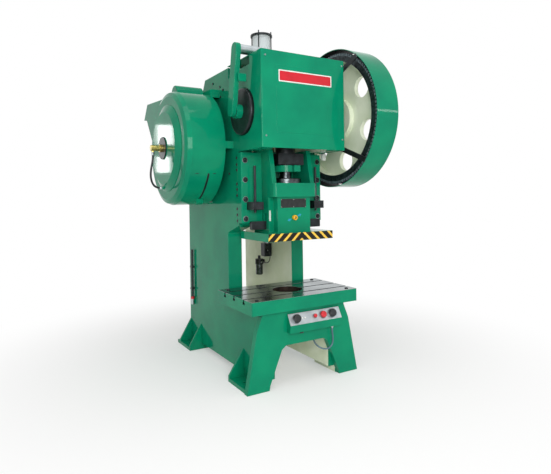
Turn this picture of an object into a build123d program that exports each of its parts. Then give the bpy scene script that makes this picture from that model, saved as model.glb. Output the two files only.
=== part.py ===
from build123d import *
from math import acos, asin, atan2, cos, degrees, hypot, pi, radians, sin, tan
import os

# Open-front mechanical power press: one crank, one gear stage, a belt-driven flywheel.
# Millimetres. +Z is up and the press faces -Y. The origin is on the floor, midway
# between the four anchor holes, with X = 0 on the centreline of the slide.

# Anchoring and main layout
anchor_span_x = 900.0
anchor_span_y = 1230.0
anchor_hole_r = 17.0
slide_y = -539.0
bed_z = 597.0
crank_z = 2172.0
crank_throw = 60.0
slide_stroke = 2 * crank_throw

# Fits
static_gap = 0.05
running_gap = 0.08
way_gap = 0.3
swing_gap = 4.0
cut_over = 1.0
arc_share = 0.45

# Cheeks, the two thick side frames
frame_gap = 516.0
cheek_t = 129.0
cheek_bottom_z = 60.0
cheek_front_y = -753.0
cheek_rear_y = 732.0
throat_y = -207.0
throat_top_z = 1180.0
nose_y = -425.0
nose_z = 1250.0
crown_front_y = -775.0
crown_z = 1862.0
shoulder_z = 2500.0
top_front_y = -254.0
top_rear_y = 261.0
top_z = 2595.0
slope_start_z = 1860.0
throat_fillet = 22.0
half_gap = frame_gap / 2
cheek_out = half_gap + cheek_t

# Front leg and feet
leg_t = 50.0
leg_foot_x = 527.0
leg_knee_x = 438.0
leg_knee_z = 460.0
leg_shoulder_x = 391.0
leg_shoulder_h = 20.0
arch_foot_x = 335.0
arch_toe_x = 328.0
arch_toe_z = 37.0
arch_knee_x = 219.0
arch_knee_z = 293.0
arch_top_z = 322.0
arch_flat_x = 180.0
foot_pad_t = 30.0
front_foot_d = 297.0
rear_foot_d = 345.0
rear_foot_x = 507.0
rear_hole_inset = 168.0
gusset_t = 20.0
gusset_z = 250.0
gusset_toe_h = 18.0
foot_inset = 6.0
leg_front_y = cheek_front_y - leg_t
rear_foot_y = anchor_span_y / 2 - rear_hole_inset

# Bed, bolster and ties
deck_t = 60.0
deck_hole_margin = 15.0
bolster_w = 1000.0
bolster_d = 614.0
bolster_t = 103.0
bolster_chamfer = 4.0
bolster_screw_r = 15.0
bolster_screw_h = 6.0
bolster_screw_inset_x = 70.0
bolster_screw_inset_y = 52.0
drop_hole_r = 125.0
slot_count = 3
slot_pitch = 170.0
slot_w = 22.0
slot_d = 38.0
slot_foot_w = 37.0
slot_foot_h = 16.0
tie_t = 40.0
lower_tie_z = 120.0
lower_tie_h = 380.0
upper_tie_z = 1450.0
upper_tie_h = 360.0
bolster_top_z = bed_z + bolster_t
bolster_y = slide_y

# Crown cover
cover_t = 5.0
cover_gap = 2.5
cover_front_y = -850.0
cover_side_rear_y = -475.0
cover_top_rear_y = -258.0
cover_bottom_z = 1860.0
cover_top_z = 2605.0
cover_cap_gap = 8.0
cover_notch_z = 2528.0
cover_notch_y = -660.0
cover_corner = 8.0
cover_half_w = cheek_out + cover_gap + cover_t

# Ways and slide
gib_out_x = 396.0
gib_in_x = 207.0
gib_front_y = -495.0
gib_bottom_z = 1270.0
gib_top_z = 1850.0
way_y = -460.0
way_base = 32.0
way_tip = 8.0
way_depth = 28.0
gib_screw_x = 360.0
gib_screw_pitch = 160.3
gib_screw_r = 12.0
gib_screw_h = 14.0
gib_screw_first = 36.0
gib_screw_count = 4
gib_chamfer = 6.0
way_root = 1.0
slide_half_w = 205.0
slide_rear_y = -352.0
slide_guide_front_y = -600.0
slide_bottom_z = 1131.0
flange_h = 64.0
flange_half_w = 309.0
flange_d = 472.0
block_half_w = 158.0
block_front_y = -665.0
shelf_z = 1594.0
shelf_h = 112.0
shelf_front_y = -701.0
shelf_corner = 28.0
web_top_front_y = -610.0
slide_top_z = 1872.0
pocket_half_w = 165.0
pocket_rear_y = -392.0
shank_r = 30.0
shank_d = 80.0
shank_roof = 6.0
bar_half_w = 338.0
bar_h = 68.0
bar_w = 38.0
bar_z = slide_bottom_z + shank_d + shank_roof
bar_lift = 60.0
bar_gap = 2.0
bar_chamfer = 6.0
way_start_h = 60.0
knob_r = 21.0
knob_h = 24.0
knob_edge = 5.0
knob_z = 1310.0
knob_stem_r = 8.0
knob_stem_l = 20.0

# Knock-out stops on the gibs
stop_x = 300.0
stop_half_w = 50.0
stop_bottom_z = 1380.0
stop_top_z = 1445.0
stop_front_y = -604.0
stop_rod_r = 10.0
stop_rod_y = -549.0
stop_rod_bottom_z = 1358.0
stop_rod_top_z = 1740.0
stop_chamfer = 4.0

# Crankshaft and its bearings
journal_r = 80.0
bush_wall = 25.0
crankpin_r = 75.0
rod_w = 170.0
web_gap = 6.0
web_t = 66.0
web_r = 118.0
collar_r = 98.0
stub_r = 48.0
sprocket_r = 36.0
sprocket_t = 8.0
left_cap_r = 186.0
left_cap_t = 34.0
left_cap_edge = 12.0
right_cap_r = 150.0
right_cap_t = 26.0
cap_gap = 2.0
gear_seat_r = 75.0
gear_nut_r = 98.0
gear_nut_t = 24.0

# Connecting rod and ball screw
ball_sink = 29.0
ball_r = 70.0
ball_nut_r = 132.0
ball_nut_h = 42.0
ball_nut_bore = 62.0
screw_r = 50.0
screw_top_z = 1900.0
clamp_gap = 54.0
clamp_h = 52.0
clamp_r = 104.0
clamp_lug_w = 60.0
rod_foot_r = 95.0
rod_foot_half_w = 122.0
rod_foot_gap = 6.0
rod_foot_h = 94.0
rod_shank_r = 84.0
loop_wall = 26.0
loop_bottom_t = 42.0
loop_top_t = 38.0
loop_corner = 120.0
loop_end_gap = 7.0
loop_joint_h = 30.0
cap_bolt_r = 8.0
cap_bolt_half_l = 70.0
cap_bolt_inset = 35.0
clamp_lug_x = 10.0
clamp_lug_reach = 22.0
clamp_lug_root = 12.0
clamp_slit_x = 2.0
clamp_slit_w = 6.0
nut_chamfer = 6.0
ball_z = shelf_z - ball_sink
clamp_bottom_z = shelf_z + ball_nut_h + clamp_gap
clamp_top_z = clamp_bottom_z + clamp_h
rod_foot_bottom_z = clamp_top_z + rod_foot_gap
rod_foot_top_z = rod_foot_bottom_z + rod_foot_h
rod_swing_deg = degrees(asin(crank_throw / (crank_z + crank_throw - ball_z)))

# Gear pair
gear_module = 10.0
tooth_addendum = 1.0
tooth_dedendum = 1.25
gear_flank_steps = 2
pinion_flank_steps = 3
gear_teeth = 114
pinion_teeth = 35
pressure_angle = radians(20)
backlash = 1.2
gear_left_x = 515.0
gear_face_w = 130.0
gear_rim_r = 505.0
web_left_x = 600.0
gear_web_t = 38.0
gear_hub_r = 183.0
gear_hub_left_x = 556.0
gear_hub_w = 134.0
gear_hole_r = 90.0
gear_hole_pitch_r = 380.0
gear_hole_count = 6
gear_hole_start_deg = 80.0
rim_overlap = 2.0
shaft_end_l = 20.0
pinion_side_gap = 3.0
train_angle = radians(-19.3)

# Gear guard
hoop_r = 606.0
hoop_t = 5.0
hoop_left_x = 485.0
hoop_right_x = 713.0
pinion_guard_r = 215.0
strap_w = 42.0
strap_t = 10.0
strap_pad_h = 20.0
strap_seats = (
    ((96, 202), (-379, 486)),
    ((96, -158), (-466, -398)),
    ((430, 300), (527, 318)),
    ((330, -460), (374, -486)),
)

# Countershaft, flywheel, clutch
countershaft_r = 50.0
bearing_r = 82.0
flywheel_r = 470.0
flywheel_left_x = -720.0
flywheel_right_x = -500.0
flywheel_rim_t = 62.0
flywheel_web_t = 40.0
flywheel_hub_r = 120.0
flywheel_taper = 10.0
clutch_hub_l = 30.0
clutch_r = 330.0
clutch_t = 22.0
clutch_hub_r = 90.0
clutch_gap = 3.0
belt_count = 4
belt_pitch = 22.0
belt_top_w = 17.0
belt_foot_w = 9.0
belt_h = 12.0
belt_centre_x = -636.0
groove_depth = 15.0

# Flywheel guard, belt guard, motor
drum_gap = 29.0
drum_t = 5.0
drum_right_x = -460.0
drum_left_x = -802.0
drum_corner = 50.0
drum_window_r = 372.0
clutch_cover_seat = 12.0
clutch_cover_slope = 66.0
clutch_cover_h = 34.0
clutch_cover_t = 4.0
clutch_cover_lap = 8.0
clutch_cover_edge = 5.0
hose_boss_wall = 4.0
hose_boss_lap = 20.0
clutch_cover_bore_gap = 10.0
port_wall = 3.0
union_r = 100.0
union_t = 9.0
union_block_r = 26.0
union_block_l = 100.0
union_collar_w = 8.0
union_collar_l = 24.0
belt_guard_left_x = -708.0
belt_guard_right_x = -560.0
belt_guard_t = 4.0
belt_guard_spread = 38.0
belt_guard_top_y = 60.0
belt_guard_top_h = 4.0
belt_guard_root_y = 100.0
belt_guard_nose = ((34.0, 78.0), (157.0, -72.0))
guard_shaft_gap = 16.0
drum_bevel = 0.29
drum_leg_w = 60.0
drum_leg_t = 12.0
drum_leg_inset = 10.0
drum_leg_reach = 40.0
motor_y = 1050.0
motor_z = 2400.0
pulley_r = 62.0
pulley_flange_w = 8.0
motor_r = 120.0
motor_left_x = -530.0
motor_right_x = -130.0
motor_shaft_r = 24.0
motor_foot_h = 22.0
motor_plate_t = 20.0
motor_tail_chamfer = 20.0
motor_nose_r = 90.0
motor_nose_l = 12.0
fin_count = 10
fin_start_deg = -20.0
fin_pitch_deg = 22.0
fin_l = 280.0
fin_h = 12.0
fin_t = 5.0
motor_foot_l = 60.0
motor_foot_half_w = 110.0
motor_foot_x = (-440.0, -260.0)
motor_foot_lap = 16.0
terminal_left_x = -380.0
terminal_l = 120.0
terminal_half_w = 60.0
terminal_h = 56.0
terminal_lap = 20.0
shelf_left_gap = 20.0
shelf_overhang = 150.0
rib_drop = 260.0
rib_toe_d = 40.0
rib_inset = 30.0
casing_r = 79.0
casing_sink = 14.8
casing_left_x = -727.0
casing_right_x = -478.0
casing_edge = 10.0
arm_lap = 2.0
arm_front_y = -75.0
arm_drop = 70.0
arm_rise = 25.0
drum_r = flywheel_r + drum_gap + drum_t
clutch_cover_base_r = drum_window_r + clutch_cover_seat
clutch_cover_face_r = clutch_cover_base_r - clutch_cover_slope

# Cam switch and its chain cover
cam_y = -625.0
cam_z = 2648.0
cam_r = 38.0
cam_right_x = -235.0
cam_shaft_r = 12.0
cam_shaft_end = 6.0
cam_tail = 30.0
cam_wall = 5.0
cam_foot_w = 30.0
cam_foot_half_d = 26.0
cam_foot_inset = (20.0, 40.0)
chain_cover_r = 46.0
chain_cover_t = 2.5
chain_cover_edge = 6.0
chain_neck_wall = 8.0
chain_neck_lap = 4.0
chain_cover_left_x = -512.0
chain_cover_right_x = -470.0
chain_x = -492.0
chain_w = 9.0
chain_h = 8.0

# Oil tank on the crown
tank_y = -155.0
tank_r = 82.0
tank_wall = 4.0
tank_h = 330.0
tank_end_r = 100.0
tank_end_t = 18.0
tank_rod_r = 5.0
tank_rod_offset = 64.0
tank_foot_h = 20.0
tank_end_edge = 5.0
tank_rod_sink = 14.0
tank_rod_over = 22.0

# Control box under the bolster front
panel_left_x = -171.0
panel_right_x = 326.0
panel_top_z = 564.0
panel_bottom_z = 482.0
panel_rise = 45.0
panel_inset = 10.0
box_bottom_z = 420.0
fascia_t = 2.0
palm_r = 32.0
palm_h = 26.0
palm_x = (-105.0, 240.0)
inch_x = 71.0
inch_r = 15.0
stop_button_x = 150.0
stop_button_r = 27.0
button_stem_r = 11.0
button_travel = 6.0
button_hole_gap = 0.5
button_hole_d = 42.0
button_stem_d = 18.0
button_face_gap = 1.0
box_lip = 6.0
button_h = (12.0, 18.0)
button_edge = (10.0, 3.0, 8.0)

# Air fittings and small items
valve_y = 203.0
valve_z = 890.0
valve_h = 130.0
valve_l = 84.0
valve_w = 78.0
valve_chamfer = 5.0
coil_r = 15.0
coil_h = 46.0
coil_offset = 22.0
filter_y = 325.0
filter_z = 690.0
filter_x = 205.0
filter_r = 36.0
filter_bowl_h = 108.0
filter_head_h = 52.0
filter_head_rim = 5.0
filter_lug_half_w = 18.0
filter_lug_inset = 8.0
filter_cap_r = 14.0
filter_cap_h = 34.0
bowl_corner = 12.0
pipe_x = 405.0
pipe_y = 625.0
pipe_r = 11.0
pipe_top_z = 960.0
pipe_bottom_z = 455.0
clip_z = (568.0, 786.0)
clip_half_h = 8.0
clip_half_w = 24.0
clip_reach = 16.0
sleeve_wall = 6.0
sleeve_drop = 46.0
sleeve_rise = 34.0
lamp_r = 24.0
lamp_z = 1832.0
lamp_drop = 30.0
lamp_rise = 26.0
lamp_gap = 12.0
lamp_arm_t = 18.0
lamp_arm_half_w = 12.0
lamp_arm_over = 10.0
gland_wall = 5.0
gland_h = 36.0
gland_lug_half_w = 14.0
gland_lug_z = (10.0, 30.0)

# Free hoses: diameter and the hand-placed points of each route
clutch_hose_d = 18.0
clutch_hose_points = [
    (-926, 165, 1888),
    (-926, 165, 1824),
    (-942, 170, 1750),
    (-946, 180, 1676),
    (-926, 194, 1612),
    (-884, 204, 1576),
    (-838, 204, 1576),
]
control_hose_d = 12.0
control_hose_points = [
    (246, -832, 420),
    (246, -832, 372),
    (255, -831, 318),
    (250, -829, 264),
    (212, -824, 234),
    (168, -812, 236),
    (134, -782, 256),
    (122, -746, 288),
    (121, -726, 332),
    (121, -726, 372),
]
filter_hose_d = 8.0
filter_hose_points = [
    (205, 149, 950),
    (205, 121, 950),
    (205, 101, 920),
    (205, 101, 888),
    (205, 112, 856),
    (205, 142, 832),
    (205, 184, 823),
    (205, 232, 824),
    (205, 277, 824),
]


# Basic shapes
def block(x0, x1, y0, y1, z0, z1):
    return Pos((x0 + x1) / 2, (y0 + y1) / 2, (z0 + z1) / 2) * Box(x1 - x0, y1 - y0, z1 - z0)


def disc_x(r, x0, x1, y, z):
    return Pos((x0 + x1) / 2, y, z) * Rot(0, 90, 0) * Cylinder(r, x1 - x0)


def disc_y(r, y0, y1, x, z):
    return Pos(x, (y0 + y1) / 2, z) * Rot(90, 0, 0) * Cylinder(r, y1 - y0)


def disc_z(r, z0, z1, x, y):
    return Pos(x, y, (z0 + z1) / 2) * Cylinder(r, z1 - z0)


def bore_x(r, x0, x1, y, z):
    # a cutter that runs past both faces
    return disc_x(r, x0 - cut_over, x1 + cut_over, y, z)


def bore_z(r, z0, z1, x, y):
    return disc_z(r, z0 - cut_over, z1 + cut_over, x, y)


def side_plane(x, y=0.0, z=0.0):
    return Plane((x, y, z), x_dir=(0, 1, 0), z_dir=(1, 0, 0))


def front_plane(y, x=0.0, z=0.0):
    return Plane((x, y, z), x_dir=(1, 0, 0), z_dir=(0, -1, 0))


def outline(points):
    return make_face(Polyline(*points, close=True))


def side_prism(points, x0, x1):
    return extrude(side_plane(x0) * outline(points), amount=x1 - x0, dir=(1, 0, 0))


def front_prism(points, y0, y1):
    return extrude(front_plane(y0) * outline(points), amount=y1 - y0, dir=(0, 1, 0))


def turned_x(profile, y, z):
    # profile holds (x, radius) pairs of a shape turned about an X axis
    face = Plane.XY * outline(profile)
    return Pos(0, y, z) * revolve(face, Axis.X)


def mirrored(shape):
    return mirror(shape, about=Plane.YZ)


def save(name, *solids):
    pieces = [solid for shape in solids for solid in shape.solids()]
    node = pieces[0] if len(pieces) == 1 else Compound(children=pieces)
    export_step(node, os.path.join("parts", name + ".step"))


def obround(r, y0, z0, y1, z1, x0, x1):
    # a bar with round ends, drawn between two centres and thickened along X
    reach = hypot(y1 - y0, z1 - z0)
    angle = degrees(atan2(z1 - z0, y1 - y0))
    face = side_plane(x0, (y0 + y1) / 2, (z0 + z1) / 2) * Rot(0, 0, angle) * SlotCenterToCenter(reach, 2 * r)
    return extrude(face, amount=x1 - x0, dir=(1, 0, 0))


def hose(points, diameter):
    # straight runs joined by tangent arcs that are as large as the runs allow
    corners = [Vector(*point) for point in points]
    radii = []
    for before, here, after in zip(corners, corners[1:], corners[2:]):
        run_in = here - before
        run_out = after - here
        turn = radians(run_in.get_angle(run_out))
        radii.append(arc_share * min(run_in.length, run_out.length) / tan(turn / 2))
    print("hose radii", [round(radius) for radius in radii])
    path = FilletPolyline(*corners, radius=radii)
    section = Plane(path @ 0, z_dir=path % 0) * Circle(diameter / 2)
    return sweep(section, path=path)


# Frame
def cheek_profile():
    return [
        (cheek_front_y, cheek_bottom_z),
        (cheek_rear_y, cheek_bottom_z),
        (cheek_rear_y, slope_start_z),
        (top_rear_y, top_z),
        (top_front_y, top_z),
        (top_front_y, shoulder_z),
        (crown_front_y, shoulder_z),
        (crown_front_y, crown_z),
        (nose_y, crown_z),
        (nose_y, nose_z),
        (throat_y, throat_top_z),
        (throat_y, bed_z),
        (cheek_front_y, bed_z),
    ]


def pinion_centre():
    distance = gear_module * (gear_teeth + pinion_teeth) / 2
    return slide_y + distance * cos(train_angle), crank_z + distance * sin(train_angle)


drive_y, drive_z = pinion_centre()
casing_z = drive_z + drum_r - casing_sink


def make_cheek():
    plate = side_prism(cheek_profile(), half_gap, cheek_out)
    corners = [e for e in plate.edges().filter_by(Axis.X)
               if abs(e.center().Y - throat_y) < 1 and e.center().Z < throat_top_z + 1]
    plate = fillet(corners, throat_fillet)
    plate -= bore_x(journal_r + bush_wall + static_gap, half_gap, cheek_out, slide_y, crank_z)
    return plate - bore_x(bearing_r + static_gap, half_gap, cheek_out, drive_y, drive_z)


def make_front_leg():
    right = [
        (leg_foot_x, 0),
        (leg_knee_x, leg_knee_z),
        (leg_shoulder_x, bed_z - leg_shoulder_h),
        (leg_shoulder_x, bed_z),
    ]
    arch = [
        (arch_flat_x, arch_top_z),
        (arch_knee_x, arch_knee_z),
        (arch_toe_x, arch_toe_z),
        (arch_foot_x, 0),
    ]
    points = right + [(-x, z) for x, z in reversed(right)] + [(-x, z) for x, z in reversed(arch)] + arch
    return front_prism(points, leg_front_y, cheek_front_y)


def gusset(foot_x, y0):
    # triangular rib that leans from the cheek out to the edge of the foot
    points = [
        (cheek_out, foot_pad_t),
        (foot_x, foot_pad_t),
        (foot_x, foot_pad_t + gusset_toe_h),
        (cheek_out, gusset_z),
    ]
    return front_prism(points, y0, y0 + gusset_t)


def make_foot(inner_x, foot_x, y0, depth, rib_ys):
    foot = block(inner_x, foot_x, y0, y0 + depth, 0, foot_pad_t)
    for y in rib_ys:
        foot += gusset(foot_x, y)
    foot += block(inner_x, cheek_out, y0, y0 + depth, foot_pad_t, cheek_bottom_z)
    hole_y = anchor_span_y / 2 if y0 > 0 else -anchor_span_y / 2
    return foot - disc_z(anchor_hole_r, -cut_over, foot_pad_t + cut_over, anchor_span_x / 2, hole_y)


def make_feet():
    front_rib_y = cheek_front_y + front_foot_d - gusset_t
    front = make_foot(arch_toe_x, leg_foot_x - foot_inset, cheek_front_y, front_foot_d, [front_rib_y])
    rear_ribs = [rear_foot_y, cheek_rear_y - gusset_t]
    rear = make_foot(half_gap, rear_foot_x, rear_foot_y, rear_foot_d, rear_ribs)
    return front, mirrored(front), rear, mirrored(rear)


def make_bed_deck():
    deck = block(-half_gap, half_gap, cheek_front_y, throat_y, bed_z - deck_t, bed_z)
    return deck - bore_z(drop_hole_r + deck_hole_margin, bed_z - deck_t, bed_z, 0, slide_y)


def make_crown_tie():
    return block(-half_gap, half_gap, top_front_y, top_rear_y, top_z - tie_t, top_z)


def make_rear_ties():
    front = cheek_rear_y - tie_t
    lower = block(-half_gap, half_gap, front, cheek_rear_y, lower_tie_z, lower_tie_z + lower_tie_h)
    upper = block(-half_gap, half_gap, front, cheek_rear_y, upper_tie_z, upper_tie_z + upper_tie_h)
    return lower, upper


def slot_lines():
    first = -(slot_count - 1) / 2
    return [bolster_y + (first + i) * slot_pitch for i in range(slot_count)]


def make_bolster():
    half_w = bolster_w / 2
    half_d = bolster_d / 2
    plate = block(-half_w, half_w, bolster_y - half_d, bolster_y + half_d, bed_z, bolster_top_z)
    plate = chamfer(plate.edges().filter_by(Axis.Z), bolster_chamfer)
    slot_z = bolster_top_z - slot_d
    reach = half_w + cut_over
    for y in slot_lines():
        for width, top in ((slot_w, bolster_top_z + cut_over), (slot_foot_w, slot_z + slot_foot_h)):
            plate -= block(-reach, reach, y - width / 2, y + width / 2, slot_z, top)
    return plate - bore_z(drop_hole_r, bed_z, bolster_top_z, 0, bolster_y)


# Ways, knock-out stops and screws
def way_points(gap):
    # half of a vee prism on the slide, or with a gap, the groove that it runs in
    return [
        (slide_half_w - way_root, way_y - way_base - gap),
        (slide_half_w + way_depth + gap, way_y - way_tip - gap),
        (slide_half_w + way_depth + gap, way_y + way_tip + gap),
        (slide_half_w - way_root, way_y + way_base + gap),
    ]


def way_prism(gap, z0, z1):
    return extrude(Plane.XY.offset(z0) * outline(way_points(gap)), amount=z1 - z0, dir=(0, 0, 1))


def gib_screw_places():
    return [gib_bottom_z + gib_screw_first + i * gib_screw_pitch for i in range(gib_screw_count)]


def make_gib():
    gib = block(gib_in_x, gib_out_x, gib_front_y, nose_y, gib_bottom_z, gib_top_z)
    gib -= way_prism(way_gap, gib_bottom_z - cut_over, gib_top_z + cut_over)
    front_edge = gib.edges().filter_by(Axis.Z).group_by(Axis.Y)[0].sort_by(Axis.X)[-1]
    return chamfer(front_edge, gib_chamfer)


def make_gib_screws():
    screws = []
    for z in gib_screw_places():
        screws.append(disc_y(gib_screw_r, gib_front_y - gib_screw_h, gib_front_y, gib_screw_x, z))
    return screws + [mirrored(screw) for screw in screws]


def make_bolster_screws():
    reach_x = bolster_w / 2 - bolster_screw_inset_x
    reach_y = bolster_d / 2 - bolster_screw_inset_y
    top = bolster_top_z + bolster_screw_h
    return [disc_z(bolster_screw_r, bolster_top_z, top, side * reach_x, bolster_y + end * reach_y)
            for side in (-1, 1) for end in (-1, 1)]


def make_knockout_stop():
    left = stop_x - stop_half_w
    right = stop_x + stop_half_w
    stop = block(left, right, stop_front_y, gib_front_y, stop_bottom_z, stop_top_z)
    stop = chamfer(stop.edges().group_by(Axis.Y)[0], stop_chamfer)
    return stop + disc_z(stop_rod_r, stop_rod_bottom_z, stop_rod_top_z, stop_x, stop_rod_y)


# Slide
def make_slide():
    low = slide_bottom_z + flange_h
    slide = block(-slide_half_w, slide_half_w, slide_guide_front_y, slide_rear_y, low, slide_top_z)
    web = [
        (slide_guide_front_y, shelf_z),
        (block_front_y, shelf_z),
        (web_top_front_y, slide_top_z),
        (slide_guide_front_y, slide_top_z),
    ]
    slide += side_prism(web, -slide_half_w, slide_half_w)
    slide += block(-block_half_w, block_half_w, block_front_y, slide_guide_front_y, low, shelf_z)
    shelf_low = shelf_z - shelf_h
    shelf = block(-slide_half_w, slide_half_w, shelf_front_y, slide_guide_front_y, shelf_low, shelf_z)
    shelf = fillet(shelf.edges().filter_by(Axis.Z).group_by(Axis.Y)[0], shelf_corner)
    slide += shelf
    slide -= block(-pocket_half_w, pocket_half_w, shelf_front_y, pocket_rear_y, shelf_z,
                   slide_top_z + cut_over)
    front = slide_y - flange_d / 2
    slide += block(-flange_half_w, flange_half_w, front, front + flange_d, slide_bottom_z, low)
    way = way_prism(0, low + way_start_h, slide_top_z)
    slide += way
    slide += mirrored(way)
    slide -= Pos(0, slide_y, ball_z) * Sphere(ball_r + way_gap)
    slide -= disc_z(ball_r + way_gap, ball_z, shelf_z + cut_over, 0, slide_y)
    slide -= disc_z(shank_r, slide_bottom_z - cut_over, slide_bottom_z + shank_d, 0, slide_y)
    stem_end = block_front_y + knob_stem_l + cut_over
    slide -= disc_y(knob_stem_r + running_gap, block_front_y - cut_over, stem_end, 0, knob_z)
    half_slot = bar_w / 2 + bar_gap
    slot_top = bar_z + bar_h + bar_lift + bar_gap
    return slide - block(-bar_half_w, bar_half_w, slide_y - half_slot, slide_y + half_slot, bar_z, slot_top)


def make_knockout_bar():
    bar = block(-bar_half_w, bar_half_w, slide_y - bar_w / 2, slide_y + bar_w / 2, bar_z, bar_z + bar_h)
    return chamfer(bar.edges().filter_by(Axis.Y), bar_chamfer)


# Connecting rod, opened at the crankpin into a long loop
def loop_prism(half_w, z0, z1, corner, half_t):
    face = side_plane(-half_t, slide_y, (z0 + z1) / 2) * RectangleRounded(2 * half_w, z1 - z0, corner)
    return extrude(face, amount=2 * half_t, dir=(1, 0, 0))


sweep_r = crank_throw + crankpin_r
loop_inner_w = sweep_r + (crank_z + sweep_r - ball_z) * sin(radians(rod_swing_deg)) + swing_gap
loop_inner_bottom = crank_z - sweep_r - loop_end_gap
loop_inner_top = crank_z + sweep_r + slide_stroke + loop_end_gap
loop_split_z = crank_z + crank_throw


def make_rod_pieces():
    half_t = rod_w / 2
    outer_bottom = loop_inner_bottom - loop_bottom_t
    outer_top = loop_inner_top + loop_top_t
    outer = loop_prism(loop_inner_w + loop_wall, outer_bottom, outer_top, loop_corner + loop_wall, half_t)
    inner = loop_prism(loop_inner_w, loop_inner_bottom, loop_inner_top, loop_corner, half_t + cut_over)
    loop = outer - inner
    lower = split(loop, Plane.XY.offset(loop_split_z), keep=Keep.BOTTOM)
    upper = split(loop, Plane.XY.offset(loop_split_z), keep=Keep.TOP)
    rod = lower + disc_z(rod_shank_r, rod_foot_top_z, outer_bottom + loop_joint_h, 0, slide_y)
    rod += block(-rod_foot_half_w, rod_foot_half_w, slide_y - rod_foot_r, slide_y + rod_foot_r,
                 rod_foot_bottom_z, rod_foot_top_z)
    rod -= inner
    rod -= bore_z(screw_r + static_gap, rod_foot_bottom_z, screw_top_z, 0, slide_y)
    bolt_x = half_t - cap_bolt_inset
    bolt_y = loop_inner_w + loop_wall / 2
    low = loop_split_z - cap_bolt_half_l
    high = loop_split_z + cap_bolt_half_l
    bolts = [disc_z(cap_bolt_r, low, high, side * bolt_x, slide_y + end * bolt_y)
             for side in (-1, 1) for end in (-1, 1)]
    for bolt in bolts:
        rod -= bolt
        upper -= bolt
    return rod, upper, bolts


def make_ball_screw():
    screw = Pos(0, slide_y, ball_z) * Sphere(ball_r)
    screw += disc_z(screw_r, ball_z, screw_top_z, 0, slide_y)
    return screw


def make_ball_nut():
    nut = disc_z(ball_nut_r, shelf_z, shelf_z + ball_nut_h, 0, slide_y)
    nut = chamfer(nut.edges().group_by(Axis.Z)[-1], nut_chamfer)
    nut -= bore_z(ball_nut_bore, shelf_z, shelf_z + ball_nut_h, 0, slide_y)
    return nut - Pos(0, slide_y, ball_z) * Sphere(ball_r + way_gap)


def make_screw_clamp():
    clamp = disc_z(clamp_r, clamp_bottom_z, clamp_top_z, 0, slide_y)
    clamp += block(clamp_lug_x, clamp_lug_x + clamp_lug_w, slide_y - clamp_r - clamp_lug_reach,
                   slide_y - screw_r - clamp_lug_root, clamp_bottom_z, clamp_top_z)
    clamp -= bore_z(screw_r + static_gap, clamp_bottom_z, clamp_top_z, 0, slide_y)
    slit_end = slide_y - clamp_r - clamp_lug_reach
    return clamp - block(clamp_slit_x, clamp_slit_x + clamp_slit_w, slit_end, slide_y,
                         clamp_bottom_z - cut_over, clamp_top_z + cut_over)


# Crankshaft, its gear and bearings
def make_crankshaft():
    web_in = rod_w / 2 + web_gap
    web_out = web_in + web_t
    pin_z = crank_z + crank_throw
    shaft = bore_x(crankpin_r, -web_in, web_in, slide_y, pin_z)
    for side in (-1, 1):
        x0, x1 = sorted((side * web_in, side * web_out))
        shaft += obround(web_r, slide_y, crank_z, slide_y, pin_z, x0, x1)
        x0, x1 = sorted((side * web_out, side * half_gap))
        shaft += disc_x(collar_r, x0, x1, slide_y, crank_z)
        x0, x1 = sorted((side * half_gap, side * cheek_out))
        shaft += disc_x(journal_r, x0, x1, slide_y, crank_z)
    shaft += disc_x(gear_seat_r, cheek_out, gear_hub_left_x + gear_hub_w, slide_y, crank_z)
    shaft += disc_x(stub_r, chain_cover_right_x, -cheek_out, slide_y, crank_z)
    shaft += disc_x(cam_shaft_r, chain_x, chain_cover_right_x, slide_y, crank_z)
    shaft += disc_x(sprocket_r, chain_x - sprocket_t / 2, chain_x + sprocket_t / 2, slide_y, crank_z)
    return shaft


def make_crank_nut():
    start = gear_hub_left_x + gear_hub_w
    return disc_x(gear_nut_r, start, start + gear_nut_t, slide_y, crank_z)


def involute(angle):
    return tan(angle) - angle


def gear_points(teeth, phase, steps):
    # straight-sided steps along the true involute flanks of each tooth
    pitch_r = gear_module * teeth / 2
    base_r = pitch_r * cos(pressure_angle)
    root_r = pitch_r - tooth_dedendum * gear_module
    tip_r = pitch_r + tooth_addendum * gear_module
    half_pitch = (pi * gear_module / 2 - backlash / 2) / (2 * pitch_r)
    flank = []
    for i in range(steps + 1):
        r = root_r + (tip_r - root_r) * i / steps
        roll = acos(min(1.0, base_r / r))
        flank.append((r, half_pitch + involute(pressure_angle) - involute(roll)))
    points = []
    for tooth in range(teeth):
        middle = phase + 2 * pi * tooth / teeth
        for r, half in flank:
            points.append((r * cos(middle - half), r * sin(middle - half)))
        for r, half in reversed(flank):
            points.append((r * cos(middle + half), r * sin(middle + half)))
    return points


def make_main_gear():
    face = outline(gear_points(gear_teeth, train_angle, gear_flank_steps)) - Circle(gear_rim_r)
    gear = extrude(side_plane(gear_left_x, slide_y, crank_z) * face, amount=gear_face_w, dir=(1, 0, 0))
    web = Circle(gear_rim_r + rim_overlap)
    for i in range(gear_hole_count):
        angle = radians(gear_hole_start_deg + 360 / gear_hole_count * i)
        web -= Pos(gear_hole_pitch_r * cos(angle), gear_hole_pitch_r * sin(angle)) * Circle(gear_hole_r)
    gear += extrude(side_plane(web_left_x, slide_y, crank_z) * web, amount=gear_web_t, dir=(1, 0, 0))
    hub_right = gear_hub_left_x + gear_hub_w
    gear += disc_x(gear_hub_r, gear_hub_left_x, hub_right, slide_y, crank_z)
    return gear - bore_x(gear_seat_r + static_gap, gear_hub_left_x, hub_right, slide_y, crank_z)


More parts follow.
